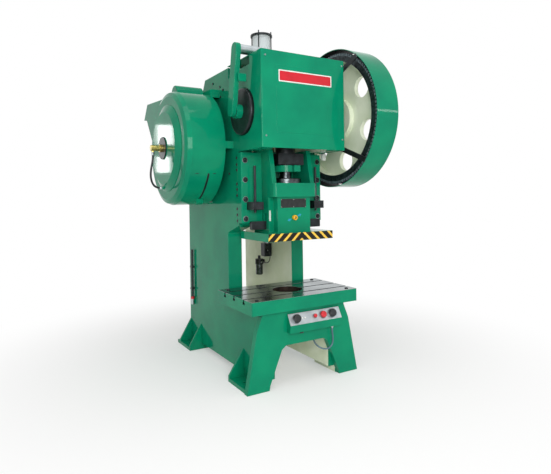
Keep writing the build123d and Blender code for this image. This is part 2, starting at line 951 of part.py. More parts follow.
def make_countershaft():
    phase = train_angle + pi + pi / pinion_teeth
    face = outline(gear_points(pinion_teeth, phase, pinion_flank_steps))
    left = gear_left_x + pinion_side_gap
    width = gear_face_w - 2 * pinion_side_gap
    shaft = extrude(side_plane(left, drive_y, drive_z) * face, amount=width, dir=(1, 0, 0))
    shaft_left = drum_left_x - clutch_cover_h + clutch_cover_t
    shaft_right = gear_left_x + gear_face_w + shaft_end_l
    return shaft + disc_x(countershaft_r, shaft_left, shaft_right, drive_y, drive_z)


def make_bearings():
    rings = []
    for side in (-1, 1):
        x0, x1 = sorted((side * half_gap, side * cheek_out))
        bush = disc_x(journal_r + bush_wall, x0, x1, slide_y, crank_z)
        rings.append(bush - bore_x(journal_r + running_gap, x0, x1, slide_y, crank_z))
        ring = disc_x(bearing_r, x0, x1, drive_y, drive_z)
        rings.append(ring - bore_x(countershaft_r + running_gap, x0, x1, drive_y, drive_z))
    return rings


def make_bearing_caps():
    left = disc_x(left_cap_r, -cheek_out - left_cap_t, -cheek_out, slide_y, crank_z)
    left = fillet(left.edges().group_by(Axis.X)[0], left_cap_edge)
    left -= bore_x(stub_r + cap_gap, -cheek_out - left_cap_t, -cheek_out, slide_y, crank_z)
    right = disc_x(right_cap_r, cheek_out, cheek_out + right_cap_t, slide_y, crank_z)
    right -= bore_x(gear_seat_r + cap_gap, cheek_out, cheek_out + right_cap_t, slide_y, crank_z)
    return left, right


# Flywheel drive
def groove(r, x, y, z):
    top = belt_top_w / 2 + way_gap
    foot = belt_foot_w / 2 + way_gap
    taper = (top - foot) / belt_h
    low = foot - taper * (groove_depth - belt_h)
    points = [
        (x - top - taper, r + cut_over),
        (x + top + taper, r + cut_over),
        (x + low, r - groove_depth),
        (x - low, r - groove_depth),
    ]
    return turned_x(points, y, z)


def belt_places():
    first = -(belt_count - 1) / 2
    return [belt_centre_x + (first + i) * belt_pitch for i in range(belt_count)]


def make_flywheel():
    mid = (flywheel_left_x + flywheel_right_x) / 2
    bore = countershaft_r + running_gap
    profile = [
        (flywheel_left_x, bore),
        (flywheel_left_x, flywheel_hub_r),
        (mid - flywheel_web_t / 2, flywheel_hub_r + flywheel_taper),
        (mid - flywheel_web_t / 2, flywheel_r - flywheel_rim_t - flywheel_taper),
        (flywheel_left_x, flywheel_r - flywheel_rim_t),
        (flywheel_left_x, flywheel_r),
        (flywheel_right_x, flywheel_r),
        (flywheel_right_x, flywheel_r - flywheel_rim_t),
        (mid + flywheel_web_t / 2, flywheel_r - flywheel_rim_t - flywheel_taper),
        (mid + flywheel_web_t / 2, flywheel_hub_r + flywheel_taper),
        (flywheel_right_x, flywheel_hub_r),
        (flywheel_right_x, bore),
    ]
    wheel = turned_x(profile, drive_y, drive_z)
    for x in belt_places():
        wheel -= groove(flywheel_r, x, drive_y, drive_z)
    return wheel


def make_clutch_disc():
    left = flywheel_left_x - clutch_gap - clutch_t
    disc = disc_x(clutch_r, left, left + clutch_t, drive_y, drive_z)
    hub_left = left - clutch_hub_l
    disc += disc_x(clutch_hub_r, hub_left, left, drive_y, drive_z)
    bore_right = left + clutch_t + cut_over
    return disc - disc_x(countershaft_r + static_gap, hub_left - cut_over, bore_right, drive_y, drive_z)


def make_motor_pulley():
    half = belt_pitch * belt_count / 2 + pulley_flange_w
    wheel = disc_x(pulley_r, belt_centre_x - half, belt_centre_x + half, motor_y, motor_z)
    for x in belt_places():
        wheel -= groove(pulley_r, x, motor_y, motor_z)
    shaft = disc_x(motor_shaft_r, belt_centre_x + half, motor_left_x, motor_y, motor_z)
    return wheel + shaft


def belt_frame():
    # centre distance, slope of the line of centres and lean of the two straight runs
    reach = hypot(motor_y - drive_y, motor_z - drive_z)
    slope = atan2(motor_z - drive_z, motor_y - drive_y)
    lean = asin((flywheel_r - pulley_r) / reach)
    return reach, slope, lean


def make_belt(x):
    reach, slope, lean = belt_frame()
    def section(r):
        return [
            (x - belt_top_w / 2, r),
            (x + belt_top_w / 2, r),
            (x + belt_foot_w / 2, r - belt_h),
            (x - belt_foot_w / 2, r - belt_h),
        ]

    # turned about X from the +Y direction: the big arc faces away from the motor
    wrap_big = 360 - 2 * degrees(pi / 2 - lean)
    wrap_small = 360 - wrap_big
    big = revolve(Plane.XY * outline(section(flywheel_r)), Axis.X, wrap_big)
    small = revolve(Plane.XY * outline(section(pulley_r)), Axis.X, wrap_small)
    big = Pos(0, drive_y, drive_z) * Rot(degrees(slope) + degrees(pi / 2 - lean), 0, 0) * big
    small = Pos(0, motor_y, motor_z) * Rot(degrees(slope) - wrap_small / 2, 0, 0) * small
    run = reach * cos(lean)
    belt = big + small
    for turn in (degrees(slope) + degrees(pi / 2 - lean), degrees(slope) - degrees(pi / 2 - lean)):
        along = -1 if turn > degrees(slope) else 1
        face = Rot(turn, 0, 0) * (Plane.XY * outline(section(flywheel_r)))
        direction = Vector(0, 0, along).rotate(Axis.X, turn)
        belt += Pos(0, drive_y, drive_z) * extrude(face, amount=run, dir=direction)
    return belt


def make_motor():
    body = disc_x(motor_r, motor_left_x, motor_right_x, motor_y, motor_z)
    body = chamfer(body.edges().group_by(Axis.X)[-1], motor_tail_chamfer)
    nose_left = motor_left_x - motor_nose_l
    body += disc_x(motor_nose_r, nose_left, motor_left_x, motor_y, motor_z)
    body -= disc_x(motor_shaft_r + cut_over, nose_left - cut_over, motor_left_x, motor_y, motor_z)
    fin = Pos(0, motor_r, 0) * Box(fin_l, 2 * fin_h, fin_t)
    middle = Pos((motor_left_x + motor_right_x) / 2, motor_y, motor_z)
    for i in range(fin_count):
        body += middle * Rot(fin_start_deg + fin_pitch_deg * i, 0, 0) * fin
    foot_z = motor_z - motor_r
    for x in motor_foot_x:
        body += block(x, x + motor_foot_l, motor_y - motor_foot_half_w, motor_y + motor_foot_half_w,
                      foot_z - motor_foot_h, foot_z + motor_foot_lap)
    top = motor_z + motor_r
    body += block(terminal_left_x, terminal_left_x + terminal_l, motor_y - terminal_half_w,
                  motor_y + terminal_half_w, top - terminal_lap, top + terminal_h)
    return body


def make_motor_bracket():
    # a shelf behind the frame, on two ribs that are welded to the rear edges of the cheeks
    seat_z = motor_z - motor_r - motor_foot_h
    under_z = seat_z - motor_plate_t
    slope = (cheek_rear_y - top_rear_y) / (top_z - slope_start_z)
    head_y = cheek_rear_y - slope * (under_z - slope_start_z)
    bracket = block(drum_right_x + shelf_left_gap, cheek_out, head_y + cut_over, motor_y + shelf_overhang,
                    under_z, seat_z)
    rib = [
        (cheek_rear_y, slope_start_z - rib_drop),
        (cheek_rear_y + rib_toe_d, slope_start_z - rib_drop),
        (motor_y + shelf_overhang - rib_inset, under_z),
        (head_y, under_z),
        (cheek_rear_y, slope_start_z),
    ]
    middle_x = half_gap + cheek_t / 2
    for x in (-middle_x, middle_x):
        bracket += side_prism(rib, x - motor_plate_t, x + motor_plate_t)
    return bracket


# Guards on the left
def belt_guard_profile(inset):
    reach, slope, lean = belt_frame()
    normal_y, normal_z = sin(slope + lean), -cos(slope + lean)
    spread = belt_guard_spread - inset
    (nose_dy, nose_dz), (end_dy, end_dz) = belt_guard_nose
    return [
        (drive_y + belt_guard_top_y, casing_z + belt_guard_top_h - inset),
        (motor_y + nose_dy - inset / 2, motor_z + nose_dz - inset),
        (motor_y + end_dy - inset, motor_z + end_dz),
        (motor_y + (pulley_r + spread) * normal_y, motor_z + (pulley_r + spread) * normal_z),
        (drive_y + (flywheel_r + spread) * normal_y, drive_z + (flywheel_r + spread) * normal_z),
        (drive_y + belt_guard_root_y, drive_z),
    ]


def belt_guard_core():
    return side_prism(belt_guard_profile(belt_guard_t), belt_guard_left_x + belt_guard_t,
                      belt_guard_right_x - belt_guard_t)


def make_belt_guard():
    left = belt_guard_left_x - cut_over
    right = belt_guard_right_x + cut_over
    guard = side_prism(belt_guard_profile(0), belt_guard_left_x, belt_guard_right_x) - belt_guard_core()
    guard -= disc_x(drum_r + static_gap, left, right, drive_y, drive_z)
    guard -= disc_x(casing_r + static_gap, casing_left_x, casing_right_x, drive_y, casing_z)
    guard -= disc_x(motor_shaft_r + guard_shaft_gap, right - 2 * belt_guard_t, right, motor_y, motor_z)
    return max(guard.solids(), key=lambda solid: solid.volume)


def make_flywheel_guard():
    bevel = drum_corner * drum_bevel
    shell = [
        (drum_right_x, drum_r - drum_t),
        (drum_right_x, drum_r),
        (drum_left_x + drum_corner, drum_r),
        (drum_left_x + bevel, drum_r - bevel),
        (drum_left_x, drum_r - drum_corner),
        (drum_left_x, drum_window_r),
        (drum_left_x + drum_t, drum_window_r),
        (drum_left_x + drum_t, drum_r - drum_corner - drum_t / 2),
        (drum_left_x + bevel + drum_t, drum_r - bevel - drum_t),
        (drum_left_x + drum_corner + drum_t / 2, drum_r - drum_t),
    ]
    drum = turned_x(shell, drive_y, drive_z) - belt_guard_core()
    leg_l = -drum_right_x - cheek_out + drum_leg_reach
    leg = Pos(-cheek_out - leg_l / 2, drum_r - drum_leg_inset, 0) * Box(leg_l, drum_leg_t, drum_leg_w)
    for turn in (0, 90, 180, 270):
        drum += Pos(0, drive_y, drive_z) * Rot(turn, 0, 0) * leg
    return drum


def make_clutch_cover():
    face_x = drum_left_x - clutch_cover_h
    inner_x = face_x + clutch_cover_t
    bore = countershaft_r + clutch_cover_bore_gap
    profile = [
        (drum_left_x, clutch_cover_base_r),
        (drum_left_x, drum_window_r - clutch_cover_lap),
        (inner_x, clutch_cover_face_r - clutch_cover_t),
        (inner_x, bore),
        (face_x, bore),
        (face_x, clutch_cover_face_r),
        (drum_left_x - clutch_cover_edge, clutch_cover_base_r),
    ]
    cover = turned_x(profile, drive_y, drive_z)
    end_x, end_y, end_z = clutch_hose_points[-1]
    return cover + disc_x(clutch_hose_d / 2 + hose_boss_wall, end_x, face_x + hose_boss_lap, end_y, end_z)


def make_rotary_union():
    face_x = drum_left_x - clutch_cover_h
    root_x = face_x - union_t
    plate = disc_x(union_r, root_x, face_x, drive_y, drive_z)
    body = disc_x(union_block_r, root_x - union_block_l, root_x, drive_y, drive_z)
    body += disc_x(union_block_r + union_collar_w, root_x - union_collar_l, root_x, drive_y, drive_z)
    port_x, port_y, port_z = clutch_hose_points[0]
    body += disc_z(clutch_hose_d / 2 + port_wall, port_z, drive_z, port_x, port_y)
    return plate, body


def make_guard_arm():
    casing = disc_x(casing_r, casing_left_x, casing_right_x, drive_y, casing_z)
    casing = fillet(casing.edges().group_by(Axis.X)[0], casing_edge)
    casing += block(casing_right_x - arm_lap, -cheek_out, arm_front_y, drive_y,
                    casing_z - arm_drop, casing_z + arm_rise)
    return casing - bore_x(drum_r + static_gap, casing_left_x, -cheek_out, drive_y, drive_z)


# Guards on the right
def make_gear_guard():
    def hoop(r):
        return disc_x(r, hoop_left_x, hoop_right_x, slide_y, crank_z)

    def bulge(r, x0, x1):
        return disc_x(r, x0, x1, drive_y, drive_z)

    outer = hoop(hoop_r + hoop_t) + bulge(pinion_guard_r + hoop_t, hoop_left_x, hoop_right_x)
    guard = outer - bore_x(hoop_r, hoop_left_x, hoop_right_x, slide_y, crank_z)
    guard -= bulge(pinion_guard_r, hoop_left_x - cut_over, hoop_right_x - hoop_t)
    return guard


def strap(start, end):
    # flat bar between two points, its width turned across the run
    first = Vector(*start)
    run = Vector(*end) - first
    middle = Plane(first + run * 0.5, x_dir=Vector(0, -run.Z, run.Y), z_dir=run)
    return middle * Box(strap_w, strap_t, run.length)


def make_guard_straps():
    # each bar runs from a pad on the cheek to the inner edge of the hoop
    straps = []
    reach = hoop_r + hoop_t / 2
    for (y0, z0), (y1, z1) in strap_seats:
        angle = atan2(z1, y1)
        end = (hoop_left_x - strap_t / 2, slide_y + reach * cos(angle), crank_z + reach * sin(angle))
        y, z = slide_y + y0, crank_z + z0
        start = (cheek_out + strap_pad_h - strap_t / 2, y, z)
        half = strap_w / 2
        pad = block(cheek_out, cheek_out + strap_pad_h, y - half, y + half, z - half, z + half)
        straps.append(strap(start, end) + pad)
    return straps


# Crown cover, cam switch and chain
def make_crown_cover():
    roof_z = cover_top_z - cover_t
    cover = block(-cover_half_w, cover_half_w, cover_front_y, cover_side_rear_y, cover_bottom_z, cover_top_z)
    cover = fillet(cover.edges().filter_by(Axis.Z).group_by(Axis.Y)[0], cover_corner)
    inner_half_w = cover_half_w - cover_t
    cover -= block(-inner_half_w, inner_half_w, cover_front_y + cover_t, cover_side_rear_y + cut_over,
                   cover_bottom_z - cut_over, roof_z)
    cover += block(-cover_half_w, cover_half_w, cover_side_rear_y, cover_top_rear_y, roof_z, cover_top_z)
    left = -cover_half_w - cut_over
    cover -= disc_x(left_cap_r + cover_cap_gap, left, -left, slide_y, crank_z)
    return cover - block(left, -inner_half_w + cut_over, cover_notch_y, cover_side_rear_y + cut_over,
                         cover_notch_z, roof_z)


def make_chain_cover():
    outer = obround(chain_cover_r, slide_y, crank_z, cam_y, cam_z, chain_cover_left_x, chain_cover_right_x)
    cover = fillet(outer.edges().group_by(Axis.X)[0], chain_cover_edge)
    cover -= obround(chain_cover_r - chain_cover_t, slide_y, crank_z, cam_y, cam_z,
                     chain_cover_left_x + chain_cover_t, chain_cover_right_x + cut_over)
    neck_r = stub_r + cap_gap
    neck_left = chain_cover_right_x - chain_neck_lap
    cap_left = -cheek_out - left_cap_t
    cover += disc_x(neck_r + chain_neck_wall, neck_left, cap_left, slide_y, crank_z)
    return cover - disc_x(neck_r, neck_left - cut_over, -cheek_out, slide_y, crank_z)


def chain_band(grow, x0, x1):
    return obround(sprocket_r + grow, slide_y, crank_z, cam_y, cam_z, x0, x1)


def make_chain():
    x0 = chain_x - chain_w / 2
    x1 = chain_x + chain_w / 2
    return chain_band(chain_h / 2, x0, x1) - chain_band(way_gap, x0 - cut_over, x1 + cut_over)


def make_camshaft():
    shaft = disc_x(cam_shaft_r, chain_x - cam_shaft_end, cam_right_x - cam_tail, cam_y, cam_z)
    return shaft + disc_x(sprocket_r, chain_x - sprocket_t / 2, chain_x + sprocket_t / 2, cam_y, cam_z)


def make_cam_switch():
    left = chain_cover_right_x
    body = disc_x(cam_r, left, cam_right_x, cam_y, cam_z)
    body -= disc_x(cam_r - cam_wall, left + cam_wall, cam_right_x - cam_wall, cam_y, cam_z)
    body -= bore_x(cam_shaft_r + running_gap, left, left + cam_wall, cam_y, cam_z)
    for x in (-cover_half_w + cam_foot_inset[0], cam_right_x - cam_foot_inset[1]):
        end = x + cam_foot_w
        foot = block(x, end, cam_y - cam_foot_half_d, cam_y + cam_foot_half_d, cover_top_z, cam_z)
        body += foot - bore_x(cam_r - cut_over, x, end, cam_y, cam_z)
    return body


# Oil tank
def make_tank_ends():
    low = disc_z(tank_end_r, top_z, top_z + tank_foot_h, 0, tank_y)
    high_z = top_z + tank_foot_h + tank_h
    high = disc_z(tank_end_r, high_z, high_z + tank_end_t, 0, tank_y)
    high = fillet(high.edges().group_by(Axis.Z)[-1], tank_end_edge)
    for rod in make_tank_rods():
        low -= rod
        high -= rod
    return low, high


def make_tank_rods():
    low = top_z + tank_foot_h - tank_rod_sink
    high = top_z + tank_foot_h + tank_h + tank_end_t + tank_rod_over
    return [disc_z(tank_rod_r, low, high, side * tank_rod_offset, tank_y + end * tank_rod_offset)
            for side in (-1, 1) for end in (-1, 1)]


def make_tank_glass():
    z0 = top_z + tank_foot_h
    glass = disc_z(tank_r, z0, z0 + tank_h, 0, tank_y)
    return glass - bore_z(tank_r - tank_wall, z0, z0 + tank_h, 0, tank_y)


# Control box
panel_top_y = leg_front_y - panel_inset
panel_low_y = panel_top_y - panel_rise
panel_tilt = atan2(panel_rise, panel_top_z - panel_bottom_z)


def panel_plane(x, along=0.5):
    # a frame on the sloped panel: its normal points out towards the operator
    y = panel_low_y + (panel_top_y - panel_low_y) * along
    z = panel_bottom_z + (panel_top_z - panel_bottom_z) * along
    normal = (0, -cos(panel_tilt), sin(panel_tilt))
    return Plane((x, y, z), x_dir=(1, 0, 0), z_dir=normal)


def make_control_box():
    profile = [
        (leg_front_y, box_bottom_z),
        (panel_low_y + box_lip, box_bottom_z),
        (panel_low_y, panel_bottom_z),
        (panel_top_y, panel_top_z),
        (leg_front_y, panel_top_z),
    ]
    box = side_prism(profile, panel_left_x, panel_right_x)
    hole = Pos(0, 0, cut_over - button_hole_d / 2) * Cylinder(button_stem_r + button_hole_gap, button_hole_d)
    for x in button_places():
        box -= panel_plane(x) * hole
    return box


def button_places():
    return palm_x[0], palm_x[1], inch_x, stop_button_x


def make_fascia():
    depth = hypot(panel_rise, panel_top_z - panel_bottom_z)
    middle = (panel_left_x + panel_right_x) / 2
    width = panel_right_x - panel_left_x
    plate = panel_plane(middle) * Pos(0, 0, fascia_t / 2) * Box(width, depth, fascia_t)
    for x in button_places():
        plate -= panel_plane(x) * Cylinder(button_stem_r + button_hole_gap, button_hole_d)
    return plate


def make_button(x, r, height, crown):
    base = fascia_t + button_travel + button_face_gap
    cap = Pos(0, 0, base + height / 2) * Cylinder(r, height)
    cap = fillet(cap.edges().group_by(Axis.Z)[-1], crown)
    stem = Pos(0, 0, (base - button_stem_d) / 2) * Cylinder(button_stem_r, base + button_stem_d)
    return panel_plane(x) * (cap + stem)


# Air fittings, pipe and lamp
def make_air_valve():
    x0 = half_gap - valve_w
    valve = block(x0, half_gap, valve_y - valve_l / 2, valve_y + valve_l / 2, valve_z, valve_z + valve_h)
    valve = chamfer(valve.edges().group_by(Axis.X)[0], valve_chamfer)
    top = valve_z + valve_h
    for y in (valve_y - coil_offset, valve_y + coil_offset):
        valve += disc_z(coil_r, top, top + coil_h, half_gap - valve_w / 2, y)
    port_x, port_y, port_z = filter_hose_points[0]
    return valve + disc_y(filter_hose_d / 2 + port_wall, port_y, valve_y - valve_l / 2, port_x, port_z)


def make_air_filter():
    z0 = filter_z + filter_bowl_h
    z1 = z0 + filter_head_h
    head = disc_z(filter_r + filter_head_rim, z0, z1, filter_x, filter_y)
    head += block(filter_x, half_gap, filter_y - filter_lug_half_w, filter_y + filter_lug_half_w,
                  z0 + filter_lug_inset, z1 - filter_lug_inset)
    port_x, port_y, port_z = filter_hose_points[-1]
    head += disc_y(filter_hose_d / 2 + port_wall, port_y, filter_y, port_x, port_z)
    return head + disc_z(filter_cap_r, z1, z1 + filter_cap_h, filter_x, filter_y)


def make_filter_bowl():
    bowl = disc_z(filter_r, filter_z, filter_z + filter_bowl_h, filter_x, filter_y)
    return fillet(bowl.edges().group_by(Axis.Z)[0], bowl_corner)


def make_inlet_pipe():
    pipe = disc_z(pipe_r, pipe_bottom_z, pipe_top_z, -pipe_x, pipe_y)
    for z in clip_z:
        pipe += block(-pipe_x - clip_reach, -cheek_out, pipe_y - clip_half_w, pipe_y + clip_half_w,
                      z - clip_half_h, z + clip_half_h)
    sleeve_z = pipe_bottom_z - sleeve_drop
    return pipe + disc_z(pipe_r + sleeve_wall, sleeve_z, pipe_bottom_z + sleeve_rise, -pipe_x, pipe_y)


def make_lamp():
    x = cover_half_w + lamp_r + lamp_gap
    top = lamp_z + lamp_rise
    lamp = disc_z(lamp_r, lamp_z - lamp_drop, top, x, gib_front_y)
    return lamp + block(cover_half_w, x + lamp_arm_over, gib_front_y - lamp_arm_half_w,
                        gib_front_y + lamp_arm_half_w, top, top + lamp_arm_t)


def make_knob():
    knob = disc_y(knob_r, block_front_y - way_gap - knob_h, block_front_y - way_gap, 0, knob_z)
    knob = fillet(knob.edges().group_by(Axis.Y)[0], knob_edge)
    stem_start = block_front_y - way_gap - cut_over
    return knob + disc_y(knob_stem_r, stem_start, block_front_y + knob_stem_l, 0, knob_z)


def make_control_gland():
    x, y, z = control_hose_points[-1]
    gland = disc_z(control_hose_d / 2 + gland_wall, z, z + gland_h, x, y)
    low, high = gland_lug_z
    return gland + block(x - gland_lug_half_w, x + gland_lug_half_w, cheek_front_y, y, z + low, z + high)


def build():
    cheek = make_cheek()
    save("right_cheek", cheek)
    save("left_cheek", mirrored(cheek))
    save("front_leg", make_front_leg())
    save("feet", *make_feet())
    save("bed_deck", make_bed_deck())
    save("frame_ties", make_crown_tie(), *make_rear_ties())
    save("bolster", make_bolster())
    gib = make_gib()
    save("right_gib", gib)
    save("left_gib", mirrored(gib))
    save("frame_screws", *make_gib_screws(), *make_bolster_screws())
    stop = make_knockout_stop()
    save("knockout_stops", stop, mirrored(stop))
    save("slide", make_slide())
    save("knockout_bar", make_knockout_bar())
    rod, cap, bolts = make_rod_pieces()
    save("connecting_rod", rod)
    save("big_end_cap", cap)
    save("cap_bolts", *bolts)
    save("ball_screw", make_ball_screw())
    save("ball_nut", make_ball_nut())
    save("screw_clamp", make_screw_clamp())
    save("crankshaft", make_crankshaft())
    save("crank_nut", make_crank_nut())
    save("main_gear", make_main_gear())
    save("countershaft", make_countershaft())
    save("shaft_bearings", *make_bearings())
    save("bearing_caps", *make_bearing_caps())
    save("flywheel", make_flywheel())
    save("clutch_disc", make_clutch_disc())
    save("motor_pulley", make_motor_pulley())
    save("v_belts", *[make_belt(x) for x in belt_places()])
    save("motor", make_motor())
    save("motor_bracket", make_motor_bracket())
    save("belt_guard", make_belt_guard())
    save("flywheel_guard", make_flywheel_guard())
    save("clutch_cover", make_clutch_cover())
    save("rotary_union", *make_rotary_union())
    save("guard_arm", make_guard_arm())
    save("gear_guard", make_gear_guard())
    save("guard_straps", *make_guard_straps())
    save("crown_cover", make_crown_cover())
    save("chain_cover", make_chain_cover())
    save("chain", make_chain())
    save("camshaft", make_camshaft())
    save("cam_switch", make_cam_switch())
    save("tank_frame", *make_tank_ends(), *make_tank_rods())
    save("tank_glass", make_tank_glass())
    save("control_box", make_control_box())
    save("control_fascia", make_fascia())
    save("left_palm_button", make_button(palm_x[0], palm_r, palm_h, button_edge[0]))
    save("right_palm_button", make_button(palm_x[1], palm_r, palm_h, button_edge[0]))
    save("inch_button", make_button(inch_x, inch_r, button_h[0], button_edge[1]))
    save("emergency_button", make_button(stop_button_x, stop_button_r, button_h[1], button_edge[2]))
    save("air_valve", make_air_valve())
    save("air_filter", make_air_filter(), make_filter_bowl())
    save("inlet_pipe", make_inlet_pipe())
    save("lock_knob", make_knob())
    save("clutch_hose", hose(clutch_hose_points, clutch_hose_d))
    save("control_hose", hose(control_hose_points, control_hose_d))
    save("filter_hose", hose(filter_hose_points, filter_hose_d))
    save("hose_gland", make_control_gland())
    save("lamp", make_lamp())


os.makedirs("parts", exist_ok=True)
build()
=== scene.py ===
import math

import bmesh
import bpy
from mathutils import Matrix, Vector


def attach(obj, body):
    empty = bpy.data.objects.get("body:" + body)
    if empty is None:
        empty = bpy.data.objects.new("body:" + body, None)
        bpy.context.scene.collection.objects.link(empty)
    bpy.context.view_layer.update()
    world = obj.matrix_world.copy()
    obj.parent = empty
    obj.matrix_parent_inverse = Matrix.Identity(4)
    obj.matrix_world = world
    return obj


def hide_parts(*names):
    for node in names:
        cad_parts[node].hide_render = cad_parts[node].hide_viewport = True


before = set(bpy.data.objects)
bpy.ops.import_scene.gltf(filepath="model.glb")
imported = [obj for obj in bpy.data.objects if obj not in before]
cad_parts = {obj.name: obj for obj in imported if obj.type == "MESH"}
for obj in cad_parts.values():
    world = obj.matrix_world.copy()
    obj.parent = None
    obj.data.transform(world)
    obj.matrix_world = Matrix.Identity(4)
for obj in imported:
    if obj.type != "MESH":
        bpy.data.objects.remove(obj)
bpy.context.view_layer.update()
print("frame loaded,", len(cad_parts), "nodes")

# Pieces are described in millimetres; the camera, the regions, the floor and the lamps in metres
mm = 0.001
mmPerMetre = 1000.0
alongX, alongY, alongZ = range(3)


# Colours are written as sRGB hex values
def linearColour(hexText):
    parts = [int(hexText[i:i + 2], 16) / 255 for i in (1, 3, 5)]
    return (*[p / 12.92 if p <= 0.04045 else ((p + 0.055) / 1.055) ** 2.4 for p in parts], 1.0)


def addNode(tree, kind, settings=None, inputs=None):
    node = tree.nodes.new(kind)
    for name, value in (settings or {}).items():
        setattr(node, name, value)
    for name, value in (inputs or {}).items():
        if isinstance(value, bpy.types.NodeSocket):
            tree.links.new(value, node.inputs[name])
        else:
            node.inputs[name].default_value = value
    return node


# Camera, set from the straight edges of the photograph
photoView = {
    "eye": (-2.157, -4.0122, 1.4927),
    "yaw": 30.62,
    "pitch": 0.16,
    "roll": -0.865,
    "focalPixels": 482.14,
    "centrePixel": (275.5, 194.3),
    "picture": (551, 474),
    "sensor": 36.0,
    "clipEnd": 60.0,
}


def makeCamera(spec):
    data = bpy.data.cameras.new("photoCamera")
    camera = bpy.data.objects.new("photoCamera", data)
    bpy.context.scene.collection.objects.link(camera)
    width, height = spec["picture"]
    data.sensor_width = spec["sensor"]
    data.lens = spec["focalPixels"] * spec["sensor"] / width
    data.shift_x = (width / 2 - spec["centrePixel"][0]) / width
    data.shift_y = (spec["centrePixel"][1] - height / 2) / width
    data.clip_end = spec["clipEnd"]
    yaw, pitch, roll = (math.radians(spec[k]) for k in ("yaw", "pitch", "roll"))
    forward = Vector((math.sin(yaw) * math.cos(pitch), math.cos(yaw) * math.cos(pitch), math.sin(pitch)))
    level = Vector((math.cos(yaw), -math.sin(yaw), 0.0))
    up = level.cross(forward)
    right = level * math.cos(roll) + up * math.sin(roll)
    upright = up * math.cos(roll) - level * math.sin(roll)
    turn = Matrix((right, upright, -forward)).transposed().to_4x4()
    camera.matrix_world = Matrix.Translation(spec["eye"]) @ turn
    bpy.context.scene.camera = camera


makeCamera(photoView)

